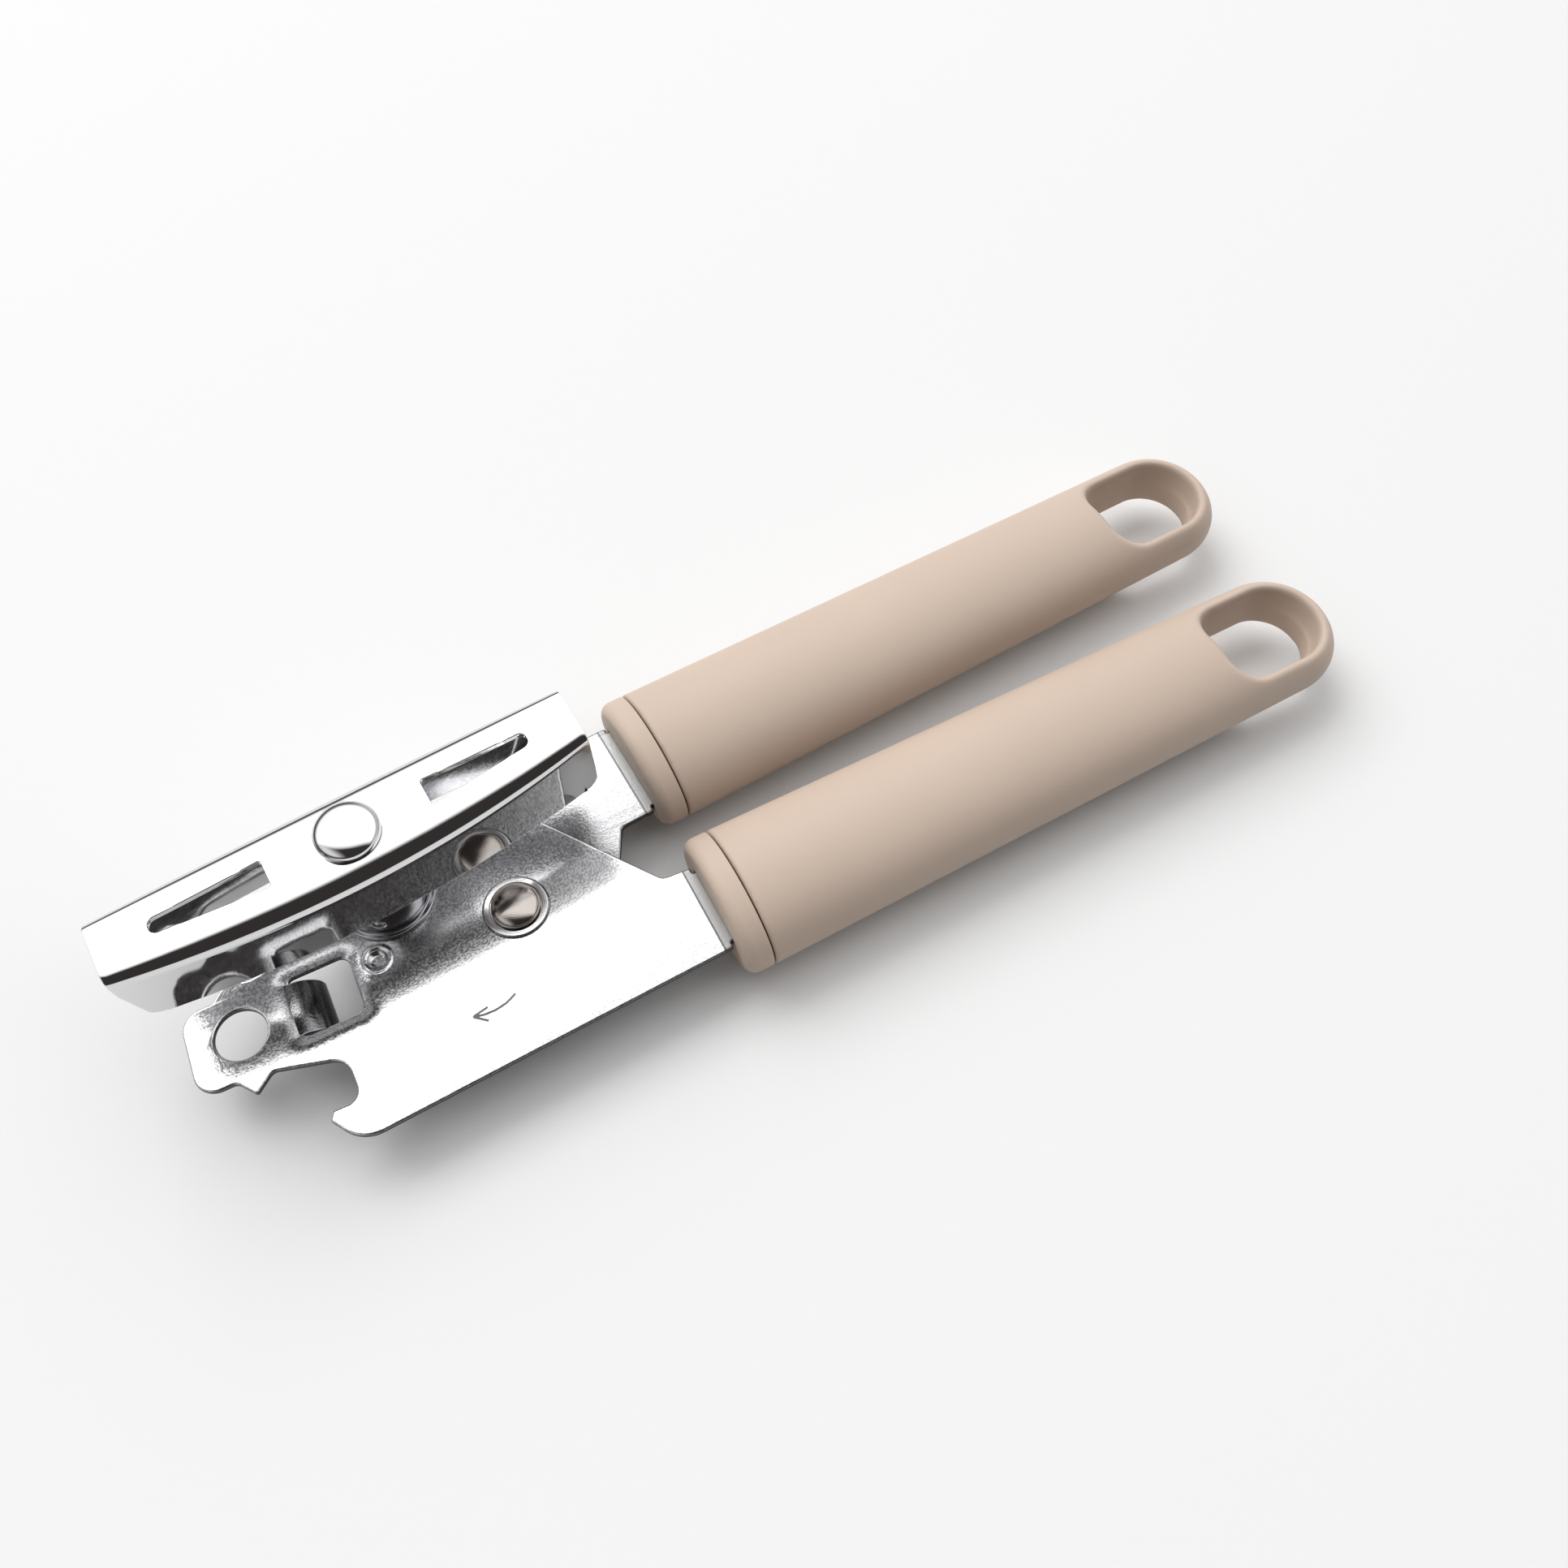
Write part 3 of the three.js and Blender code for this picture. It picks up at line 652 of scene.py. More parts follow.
def cap_band_group():
    """A narrow dull band and a fine line on a tongue, beside its handle's cap."""
    group, ins, outs = new_group(
        "cap_band",
        [("Vector", "vector", NO_VECTOR), ("Corner", "vector", NO_VECTOR), ("Along", "vector", (1, 0, 0))],
        [("Band", "float"), ("Line", "float")])
    local = vector_math(group, "SUBTRACT", ins.outputs["Vector"], ins.outputs["Corner"])
    along = vector_math(group, "DOT_PRODUCT", local, ins.outputs["Along"])
    band = ranged(group, along, BAND_START - BAND_LINE / 2, BAND_START + BAND_LINE / 2, 0, 1)
    group.links.new(band, outs.inputs["Band"])
    off = math_node(group, "ABSOLUTE", math_node(group, "SUBTRACT", along, BAND_START))
    group.links.new(ranged(group, off, BAND_LINE * 0.4, BAND_LINE, 1, 0), outs.inputs["Line"])
    return group


EFFECTS = {}
MATERIALS = {}


def build_effects():
    """Makes the node groups that the materials share."""
    EFFECTS["grain"] = satin_grain_group()
    EFFECTS["wear"] = edge_wear_group()
    EFFECTS["marks"] = handling_marks_group()
    EFFECTS["rings"] = turned_rings_group()
    EFFECTS["cut_edge_and_shade"] = cut_edge_and_shade_group()
    EFFECTS["band"] = cap_band_group()


def placed(tree, effect, **values):
    """One of the shared effects in a material, with its own values."""
    made = tree.nodes.new("ShaderNodeGroup")
    made.node_tree = EFFECTS[effect]
    for key, value in values.items():
        plug(tree, value, made.inputs[key])
    return made


def shared(make):
    """The material that a maker gives, made once and used by every piece that asks for it."""
    if make not in MATERIALS:
        MATERIALS[make] = make()
    return MATERIALS[make]


# ---------------------------------------------------------------- materials
def plated_plate(name="plated_plate", handle=LOWER_HANDLE, shade=1.0, roughness=(0.15, 0.25)):
    """Satin plating over pressed sheet, speckled, with rougher cut edges darkened by painted shade, and a
    dull band at the cap.
    """
    looks = settings().finish
    finish, tree, shader, place = blank_material(name)
    grain = placed(tree, "grain", Vector=place, Scale=2900.0, Low=roughness[0], High=roughness[1])
    marks = placed(tree, "marks", Vector=place, Amount=0.4)
    upright = tree.nodes.new("ShaderNodeTexCoord").outputs["Normal"]
    cut_edge_and_shade = placed(tree, "cut_edge_and_shade", Normal=upright).outputs["Mask"]
    x, y, angle, _ = handle
    band = placed(tree, "band", Vector=place, Corner=(x * MM, y * MM, 0),
                  Along=(math.cos(angle), math.sin(angle), 0))
    # painted shade: a shade below 1 dims the whole plating, standing in for dark things the plate reflects
    colour = dimmed(looks.plate, shade)
    tone = mixed(tree, marks.outputs["Smear"], colour, dimmed(colour, 0.95))
    speckle = ranged(tree, grain.outputs["Height"], 0.38, 0.6, 0.36, 0)
    tone = mixed(tree, speckle, tone, dimmed(colour, 0.3))
    tone = mixed(tree, band.outputs["Band"], tone, (0.3, 0.3, 0.295))
    tone = mixed(tree, band.outputs["Line"], tone, (0.1, 0.1, 0.1))
    # painted shade: the upright cut edges are darkened almost to black
    tone = mixed(tree, cut_edge_and_shade, tone, (0.08, 0.08, 0.085))
    plug(tree, tone, shader.inputs["Base Color"])
    plug(tree, 1, shader.inputs["Metallic"])
    duller = math_node(tree, "MAXIMUM", cut_edge_and_shade, band.outputs["Band"])
    rough = math_node(tree, "ADD", grain.outputs["Roughness"], math_node(tree, "MULTIPLY", duller, 0.2))
    plug(tree, rough, shader.inputs["Roughness"])
    height = math_node(tree, "MULTIPLY", grain.outputs["Height"], looks.grain * MM)
    bumped(tree, shader, height, 1.0, 1.0)
    return finish


# painted shade: share of the plate's colour kept where dark reflections are painted into the plating
PAINTED_SHADE_SHARE = 0.42     # of the plate's colour, for metal that lies behind or below the front face


def rear_plating_painted_shade():
    """The rear plate's plating, darkened by painted shade that stands in for the dark key and handle it
    reflects.
    """
    return plated_plate("rear_plating_painted_shade", UPPER_HANDLE, PAINTED_SHADE_SHARE)


def guide_plating_painted_shade():
    """The plating of the rim guide's strip, smoother, and darkened by painted shade that stands in for the
    dark reflections on it.
    """
    return plated_plate("guide_plating_painted_shade", LOWER_HANDLE, PAINTED_SHADE_SHARE, (0.1, 0.18))


def engraved_line_painted_shade():
    """The dull floor of an engraved line, painted dark as shade in the groove and mottled by noise."""
    finish, tree, shader, place = blank_material("engraved_line_painted_shade")
    shade_mottle = noise(tree, place, 3000, 3)
    # painted shade: the groove's floor is coloured dark grey
    plug(tree, mixed(tree, shade_mottle, (0.2, 0.2, 0.21), (0.42, 0.42, 0.43)), shader.inputs["Base Color"])
    plug(tree, 1, shader.inputs["Metallic"])
    plug(tree, 0.45, shader.inputs["Roughness"])
    return finish


def key_chrome():
    """Mirror chrome with a slight ripple, faint smears and bright worn edges."""
    finish, tree, shader, place = blank_material("key_chrome")
    marks = placed(tree, "marks", Vector=place, Amount=0.6)
    wear = placed(tree, "wear", Vector=place, Amount=0.6)
    colour = tuple(settings().finish.chrome)
    plug(tree, mixed(tree, wear.outputs["Mask"], colour, (0.82, 0.82, 0.82)), shader.inputs["Base Color"])
    plug(tree, 1, shader.inputs["Metallic"])
    plug(tree, ranged(tree, marks.outputs["Smear"], 0, 0.6, 0.055, 0.1), shader.inputs["Roughness"])
    ripple = noise(tree, place, 120, 2)
    height = math_node(tree, "ADD", ripple, math_node(tree, "MULTIPLY", marks.outputs["Scratch"], -0.03))
    bumped(tree, shader, height, 0.12, 0.0004)
    return finish


def bright_rivet(name="bright_rivet", colour=(0.84, 0.83, 0.82), centre=(0, 0)):
    """Burnished metal with turning marks round a centre given in millimetres."""
    finish, tree, shader, place = blank_material(name)
    rings = placed(tree, "rings", Vector=place, Pitch=0.00022, Centre=(centre[0] * MM, centre[1] * MM, 0))
    marks = placed(tree, "marks", Vector=place, Amount=0.7)
    plug(tree, mixed(tree, marks.outputs["Smear"], colour, dimmed(colour, 0.82)), shader.inputs["Base Color"])
    plug(tree, 1, shader.inputs["Metallic"])
    plug(tree, ranged(tree, rings.outputs["Height"], -0.2, 1.2, 0.1, 0.2), shader.inputs["Roughness"])
    bumped(tree, shader, rings.outputs["Height"], 0.1, 0.00005)
    return finish


def rivet_dome():
    """The pivot rivet's brushed dome."""
    return bright_rivet("rivet_dome", (0.50, 0.455, 0.42))


def burnished_dent():
    """The dent's floor, burnished by the punch."""
    return bright_rivet("burnished_dent", (0.6, 0.6, 0.61), STOP_DENT[:2])


def polished_boss():
    """Dark polished drawn steel with a gritty ring on its top; its dark colour is partly a painted reflection
    of the key's dark flange above it.
    """
    bushing = Span("shaft_bushing")
    finish, tree, shader, place = blank_material("polished_boss")
    rings = placed(tree, "rings", Vector=place, Pitch=0.0003, Centre=(bushing.x * MM, bushing.y * MM, 0))
    split = tree.nodes.new("ShaderNodeSeparateXYZ")
    tree.links.new(place, split.inputs[0])
    grit_from, grit_full = (bushing.top - 1.6) * MM, (bushing.top - 0.9) * MM
    top = ranged(tree, split.outputs["Z"], grit_from, grit_full, 0, 1, smooth=True)
    gritty = math_node(tree, "MULTIPLY", top, noise(tree, place, 1700, 4, 0.7))
    # painted reflection: the boss colour below the gritty ring stands partly for the key's dark flange it
    # reflects
    tone = mixed(tree, top, tuple(settings().finish.boss), (0.5, 0.5, 0.5))
    plug(tree, mixed(tree, gritty, tone, (0.3, 0.29, 0.28)), shader.inputs["Base Color"])
    plug(tree, 1, shader.inputs["Metallic"])
    plug(tree, ranged(tree, top, 0, 1, 0.08, 0.32), shader.inputs["Roughness"])
    smooth = math_node(tree, "MULTIPLY", rings.outputs["Height"], 0.04)
    bumped(tree, shader, math_node(tree, "ADD", smooth, gritty), 0.5, 0.0002)
    return finish


def turned_steel(name, span):
    """Plain turned steel with tool rings round the piece's own axis."""
    finish, tree, shader, place = blank_material(name)
    rings = placed(tree, "rings", Vector=place, Pitch=0.00025, Centre=(span.x * MM, span.y * MM, 0))
    wear = placed(tree, "wear", Vector=place, Amount=0.9)
    stain = ranged(tree, noise(tree, place, 400, 4), 0.35, 0.7, 0, 1, smooth=True)
    steel = tuple(settings().finish.steel)
    tone = mixed(tree, stain, steel, dimmed(steel, 0.8))
    plug(tree, mixed(tree, wear.outputs["Mask"], tone, (0.85, 0.85, 0.85)), shader.inputs["Base Color"])
    plug(tree, 1, shader.inputs["Metallic"])
    plug(tree, ranged(tree, stain, 0, 1, 0.22, 0.36), shader.inputs["Roughness"])
    bumped(tree, shader, rings.outputs["Height"], 0.3, 0.00005)
    return finish


def beige_plastic():
    """Matt moulded plastic with a very fine grain and the faintest clouding."""
    finish, tree, shader, place = blank_material("beige_plastic")
    colour = tuple(settings().finish.plastic)
    grain = placed(tree, "grain", Vector=place, Scale=3800.0, Low=0.46, High=0.6)
    cloud = ranged(tree, noise(tree, place, 45, 3), 0.3, 0.7, 0, 1, smooth=True)
    plug(tree, mixed(tree, cloud, dimmed(colour, 0.985), dimmed(colour, 1.015)), shader.inputs["Base Color"])
    plug(tree, grain.outputs["Roughness"], shader.inputs["Roughness"])
    plug(tree, 0.35, shader.inputs["Specular IOR Level"])
    bumped(tree, shader, grain.outputs["Height"], 0.18, 0.00005)
    return finish


def pale_floor():
    """The pale floor under the opener."""
    finish, tree, shader, place = blank_material("pale_floor")
    colour = tuple(settings().stage.floor)
    paper = mixed(tree, noise(tree, place, 700, 3), colour, dimmed(colour, 0.99))
    plug(tree, paper, shader.inputs["Base Color"])
    plug(tree, 0.9, shader.inputs["Roughness"])
    plug(tree, 0.1, shader.inputs["Specular IOR Level"])
    return finish


# ---------------------------------------------------------------- plates
def engraved(plate, level):
    """Cuts the thin engraved arrow into the plate's face."""
    width = settings().plate.arrow_width
    for stroke in ARROW_STROKES:
        curve = bpy.data.curves.new("arrow_stroke", "CURVE")
        curve.dimensions = "3D"
        curve.bevel_depth = width / 2 * MM
        curve.bevel_resolution = 2
        curve.use_fill_caps = True
        spline = curve.splines.new("POLY")
        spline.points.add(len(stroke) - 1)
        for point, (x, y) in zip(spline.points, stroke):
            point.co = (x * MM, y * MM, (level + width * 0.2) * MM, 1)
        source = link("arrow_stroke", curve)
        tool = link("arrow_tool", baked(source))
        bpy.data.objects.remove(source)
        tool.data.materials.append(shared(engraved_line_painted_shade))
        boolean(plate, tool)
    return plate


TAB_ROOT = 0.45       # how far the rim guide's strip runs into the plate, in millimetres
TAB_SIDE = 0.35       # gap between the strip and its window
TAB_SINK = 0.004      # keeps the strip's faces from lying in the plate's


def guide_tab(bottom, top):
    """The strip bent down from the left edge of its window, with rounded edges."""
    bend = settings().plate.guide_bend
    left, low, _ = GUIDE_WINDOW[0]
    high = GUIDE_WINDOW[2][1]
    drop, rounding = 0.35, 0.28
    centre = (left, top - TAB_SINK - bend)
    inner = bend - (top - bottom)
    outline = [(left - TAB_ROOT, top - TAB_SINK)]
    outline += arc(centre, bend, math.pi / 2, 0, math.radians(5))
    outline += [(left + bend, centre[1] - drop), (left + inner, centre[1] - drop)]
    outline += arc(centre, inner, 0, math.pi / 2, math.radians(5))
    outline += [(left - TAB_ROOT, bottom + TAB_SINK)]
    bm = bmesh.new()
    near = [bm.verts.new((x * MM, (low + TAB_SIDE) * MM, z * MM)) for x, z in outline]
    far = [bm.verts.new((x * MM, (high - TAB_SIDE) * MM, z * MM)) for x, z in outline]
    bridged(bm, near, far)
    bmesh.ops.recalc_face_normals(bm, faces=bm.faces)
    outside = (left + 0.05) * MM
    sharp = [e for e in bm.edges if e.calc_face_angle(0) > math.radians(50)
             and max(v.co.x for v in e.verts) > outside]
    bmesh.ops.bevel(bm, geom=sharp, offset=rounding * MM, segments=4, profile=0.5, affect="EDGES")
    return link("guide_tab", mesh_from("guide_tab", bm))


def stop_bump(bottom):
    """The stop that the dent raises on the plate's underside."""
    x, y, radius = STOP_DENT
    height, corner, sunk = 1.0, 0.5, 0.3
    profile = rounded([(0, bottom - height, 0), (radius, bottom - height, corner), (radius, bottom + sunk, 0),
                       (0, bottom + sunk, 0)], closed=False)
    return turned("stop_bump", x, y, profile, 48)


def dent_tool(top):
    """A round-bottomed punch for the dent above the stop bump."""
    x, y, _ = STOP_DENT
    depth, floor, dishing, mouth = 0.85, 1.05, 0.16, 1.62
    steps = 6
    bowl = [(floor * i / steps, top - depth + dishing * (i / steps) ** 2) for i in range(steps + 1)]
    flare = mouth + 0.12
    wall = rounded([(*bowl[-1], 0), (mouth - 0.1, top - 0.2, 0.3), (flare, top + 0.3, 0)], closed=False)
    tool = turned("dent_tool", x, y, [*bowl, *wall[1:], (flare, top + 1), (0, top + 1)], 72)
    tool.data.materials.append(shared(burnished_dent))
    return tool


DISH_REACH = 1.7      # how far the dish spreads round the window, in millimetres
DISH_INSET = 0.6      # how far inside the window's edge it is deepest
LIP_RADIUS = 2.0      # where the raised lip round the dent is highest
LIP_WIDTH = 0.32
FACE_SLACK = 0.02     # faces this near the plate's top level are its upper face


def dish_depth(x, y):
    """How far the pressed face sinks at a point, in millimetres."""
    plate = settings().plate
    (left, low, _), _, (right, high, _), _ = GUIDE_WINDOW
    past_x = max(abs(x - (left + right) / 2) - (right - left) / 2 + DISH_INSET, 0)
    past_y = max(abs(y - (low + high) / 2) - (high - low) / 2 + DISH_INSET, 0)
    window = plate.window_dish * math.exp(-(past_x ** 2 + past_y ** 2) / DISH_REACH ** 2)
    dent_x, dent_y, radius = STOP_DENT
    from_dent = math.hypot(x - dent_x, y - dent_y)
    lip = plate.dent_lip * math.exp(-((from_dent - LIP_RADIUS) / LIP_WIDTH) ** 2)
    return window + plate.dent_dish * math.exp(-(from_dent / (radius * 1.5)) ** 2) - lip


def gridded(obj, low, high, pitch, top):
    """Cuts a region of a plate's flat top face into a fine grid, so that it can be dished."""
    bm = bmesh.new()
    bm.from_mesh(obj.data)
    slack, facing_up = 1e-3, 0.9

    def cut(axis, at, inside):
        faces = []
        for face in bm.faces:
            centre = face.calc_center_median() / MM
            upper = face.normal.z >= facing_up and centre.z >= top - FACE_SLACK
            if upper and (not inside or all(low[k] - slack < centre[k] < high[k] + slack for k in (0, 1))):
                faces.append(face)
        edges = list({edge for face in faces for edge in face.edges})
        verts = list({vert for face in faces for vert in face.verts})
        place, normal = [0, 0, 0], [0, 0, 0]
        place[axis], normal[axis] = at * MM, 1
        geometry = verts + edges + faces
        bmesh.ops.bisect_plane(bm, geom=geometry, dist=1e-7, plane_co=place, plane_no=normal)

    for axis in (0, 1):
        cut(axis, low[axis], False)
        cut(axis, high[axis], False)
    for axis in (0, 1):
        count = round((high[axis] - low[axis]) / pitch)
        for i in range(1, count):
            cut(axis, low[axis] + (high[axis] - low[axis]) * i / count, True)
    bmesh.ops.triangulate(bm, faces=[face for face in bm.faces if len(face.verts) > 4])
    bm.to_mesh(obj.data)
    bm.free()
    return obj


def dished(obj, bottom, top):
    """Sinks the plate's upper face round the window and the dent; its underside stays flat."""
    for vertex in obj.data.vertices:
        x, y, z = vertex.co / MM
        share = max(0, min(1, (z - bottom) / (top - bottom)))
        vertex.co.z -= dish_depth(x, y) * share * MM
    obj.data.update()
    return obj


DISH_AREA = ((-41.0, -9.0), (-18.0, 8.0))     # low and high corners, in millimetres
DENT_AREA = ((-25.0, -1.4), (-19.0, 4.6))
DISH_PITCH = 0.5
DENT_PITCH = 0.16
DENT_SINK = 0.15      # the dent is punched from this far below the face
TAB_LIFT = 0.05       # the rim guide's strip starts this far above the dished edge
RECESS_DEPTH = 0.55


def washer_recess(radius, top):
    """The shallow flared seat that the pivot's ring sits in."""
    wall, mouth = radius + 0.15, radius + 0.35
    seat = top - RECESS_DEPTH
    return turned("recess", 0, 0, [(0, seat), (wall, seat), (wall, top - 0.2), (mouth, top + 0.05),
                                   (mouth, top + 1), (0, top + 1)])


class OPENER_OT_front_plate(bpy.types.Operator):
    """Builds the lower lever's plate with its hook, rim guide, dent and engraved arrow"""

    bl_idname = "opener.front_plate"
    bl_label = "Front Plate"

    def execute(self, context):
        washer = Span("pivot_front_washer")
        bushing = Span("shaft_bushing")
        bottom = bushing.bottom
        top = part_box("front_plate")[1].z / MM
        outlines = [
            rounded(tongue(LOWER_HANDLE) + FRONT_OUTLINE), rounded(GUIDE_WINDOW), circle(*HANGING_HOLE, 96),
        ]
        plate = sheet_plate("front_plate_sheet", outlines, bottom, top, settings().plate.edge_round)
        plate.data.materials.append(shared(plated_plate))
        gridded(plate, *DISH_AREA, DISH_PITCH, top)
        gridded(plate, *DENT_AREA, DENT_PITCH, top)
        boolean(plate, washer_recess(washer.radius, top))
        dished(plate, bottom, top)
        boolean(plate, dent_tool(top - DENT_SINK))
        engraved(plate, top)
        sunk = settings().plate.window_dish * math.exp(-(DISH_INSET / DISH_REACH) ** 2) - TAB_LIFT
        tab = guide_tab(bottom - sunk, top - sunk)
        tab.data.materials.append(shared(guide_plating_painted_shade))
        joined(plate, tab, stop_bump(bottom))
        finished(plate, "lower_lever", "front_plate", shared(plated_plate))
        return {"FINISHED"}


class OPENER_OT_rear_plate(bpy.types.Operator):
    """Builds the upper lever's plate, which carries the cutter"""

    bl_idname = "opener.rear_plate"
    bl_label = "Rear Plate"

    def execute(self, context):
        low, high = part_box("rear_plate")
        pivot_bore = circle(0, 0, PIVOT_SHANK + 2 * CLEARANCE)
        outlines = [rounded(tongue(UPPER_HANDLE) + REAR_OUTLINE), pivot_bore]
        edge = settings().plate.edge_round
        plate = sheet_plate("rear_plate_sheet", outlines, low.z / MM, high.z / MM, edge)
        finished(plate, "upper_lever", "rear_plate", shared(rear_plating_painted_shade))
        return {"FINISHED"}


# ---------------------------------------------------------------- pivot, shaft and wheels
DOME_RADIUS = 3.8     # of the pivot rivet's dome, in millimetres
SHAFT_RADIUS = 3.0
THREAD_RADIUS = 2.0   # of the shaft's thinner ends
HEAD_RISE = 2.2       # height of the shaft's head above the key
AXLE_RADIUS = 2.2     # of the cutter's axle


def dome(radius, low, high, edge=0.25, steps=12):
    """Profile of a domed head from its rim up to the axis."""
    points = [(radius, low)]
    for i in range(steps + 1):
        turn = math.pi / 2 * i / steps
        points.append((radius * math.cos(turn), low + edge + (high - low - edge) * math.sin(turn)))
    return points


def low_dome(radius, low, high, rim=0.3, flatness=2.8, shoulder=2.2, steps=22):
    """Profile of a broad, nearly flat head whose shoulder rolls down to a short rim."""
    rise = high - low - rim
    crown = []
    for i in range(steps):
        turn = math.pi / 2 * i / steps
        level = low + rim + rise * math.sin(turn) ** (2 / shoulder)
        crown.append((radius * math.cos(turn) ** (2 / flatness), level))
    return [(radius, low), *crown, (0, high)]


class OPENER_OT_pivot(bpy.types.Operator):
    """Builds the domed pivot rivet and its two washers"""

    bl_idname = "opener.pivot"
    bl_label = "Lever Pivot"

    def execute(self, context):
        rivet, front, rear = (Span(n) for n in ("pivot_rivet", "pivot_front_washer", "pivot_rear_washer"))
        tail_top = rear.bottom - CLEARANCE
        base = front.top + CLEARANCE
        tail = rounded([(0, rivet.bottom, 0), (rivet.radius, rivet.bottom, 0.45),
                        (rivet.radius, tail_top, 0.12), (PIVOT_SHANK, tail_top, 0),
                        (PIVOT_SHANK, base, 0)], closed=False)
        body = turned("pivot_rivet_turned", 0, 0, [*tail, *dome(DOME_RADIUS, base, rivet.top)])
        finished(body, "lower_lever", "pivot_rivet", shared(rivet_dome), 40)
        ledge, lip, bore = front.top - 0.3, DOME_RADIUS + 0.3, PIVOT_SHANK + CLEARANCE
        ring = rounded([(bore, front.bottom, 0.1), (front.radius, front.bottom, 0.1),
                        (front.radius, front.top, 0.16), (lip, front.top, 0.14), (lip, ledge, 0.05),
                        (bore, ledge, 0.05)])
        washer = turned("pivot_ring", 0, 0, ring + ring[:1])
        finished(washer, "lower_lever", "pivot_front_washer", shared(bright_rivet), 40)
        back = turned("pivot_back_washer", 0, 0, ring_profile(bore, rear.radius, rear.bottom, rear.top, 0.15))
        finished(back, "lower_lever", "pivot_rear_washer",
                 turned_steel("back_washer_steel", rear), 40)
        return {"FINISHED"}


def square_outline(across, angle, edge=0.3):
    """A square with small rounded corners, turned by an angle."""
    half = across / 2
    corners = [(half, -half, edge), (half, half, edge), (-half, half, edge), (-half, -half, edge)]
    cos, sin = math.cos(angle), math.sin(angle)
    return [(x * cos - y * sin, x * sin + y * cos) for x, y in rounded(corners)]


class OPENER_OT_bushing(bpy.types.Operator):
    """Builds the polished boss round the drive shaft"""

    bl_idname = "opener.bushing"
    bl_label = "Shaft Bushing"

    def execute(self, context):
        span = Span("shaft_bushing")
        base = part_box("front_plate")[1].z / MM + CLEARANCE
        lip, drum, crown, bore, spigot = 0.5, 6.9, 4.9, SHAFT_RADIUS + 2 * CLEARANCE, 5.2
        chamfer, steps = 0.2, 12
        shoulder = base + (span.top - base) * 0.4
        turns = [math.pi / 2 * i / steps for i in range(steps + 1)]
        rise = [(crown + (drum - crown) * math.cos(a), shoulder + (span.top - shoulder) * math.sin(a))
                for a in turns]
        foot = rounded([(bore, span.bottom, 0), (spigot, span.bottom, 0.1), (spigot, base, 0),
                        (span.radius, base, 0.15), (span.radius, base + lip, 0.25),
                        (drum + 0.02, base + lip, 0.3), (drum, shoulder, 0)], closed=False)
        inside = [(bore + chamfer, span.top), (bore, span.top - chamfer), (bore, span.bottom)]
        boss = turned("shaft_boss", span.x, span.y, [*foot, *rise[1:], *inside])
        finished(boss, "lower_lever", "shaft_bushing", shared(polished_boss), 50)
        return {"FINISHED"}


def web_level(shaft):
    """Height of the upper face of the key's web at the shaft."""
    return shaft.top - HEAD_RISE - CLEARANCE


class OPENER_OT_shaft(bpy.types.Operator):
    """Builds the drive shaft with its domed head, and the sleeve between boss and key"""

    bl_idname = "opener.shaft"
    bl_label = "Drive Shaft"

    def execute(self, context):
        shaft, collar, nut, feed = (Span(n) for n in ("drive_shaft", "key_collar", "feed_nut", "feed_wheel"))
        head_base = web_level(shaft) + CLEARANCE
        thread, body = THREAD_RADIUS, SHAFT_RADIUS
        lower = rounded([(0, shaft.bottom, 0), (thread, shaft.bottom, 0.35), (thread, nut.top, 0),
                         (thread, feed.top + 0.1, 0), (body, feed.top + CLEARANCE, 0.1),
                         (body, collar.top - 0.1, 0.1), (thread, collar.top, 0), (thread, head_base, 0)],
                        closed=False)
        head = low_dome(shaft.radius, head_base, shaft.top)
        stem = turned("drive_shaft_turned", shaft.x, shaft.y, [*lower, *head])
        finished(stem, "key", "drive_shaft", shared(key_chrome), 40)
        sleeve = turned("shaft_sleeve", collar.x, collar.y,
                        ring_profile(body + CLEARANCE, collar.radius, collar.bottom, collar.top, 0.25))
        finished(sleeve, "key", "key_collar", turned_steel("sleeve_steel", collar), 40)
        return {"FINISHED"}


def key_section(bend):
    """Closed (across, level) outline of the folded sheet at full width, web's top at level 0."""
    key = settings().key
    outer, inner = key.half_width, key.half_width - key.wall
    inner_bend = bend - key.wall
    edge = 0.3
    right = [(outer, -key.flange + edge)]
    right += arc((outer - bend, -bend), bend, 0, math.pi / 2, math.radians(5))
    inside = arc((inner - inner_bend, -key.wall - inner_bend), inner_bend, math.pi / 2, 0, math.radians(10))
    foot = arc((inner + edge, -key.flange + edge), edge, math.pi, 3 * math.pi / 2, math.radians(30))
    toe = arc((outer - edge, -key.flange + edge), edge, 3 * math.pi / 2, TAU, math.radians(30))
    web_points, inner_points = 16, 12
    web = [((outer - bend) * (1 - 2 * i / web_points), 0) for i in range(1, web_points)]
    half = foot + toe + right[1:]
    mirrored = [(-x, z) for x, z in reversed(half)]
    inner_web = [((inner - inner_bend) * (2 * i / inner_points - 1), -key.wall)
                 for i in range(1, inner_points)]
    left_inside = [(-x, z) for x, z in reversed(inside)]
    return half + web + mirrored + left_inside + inner_web + inside


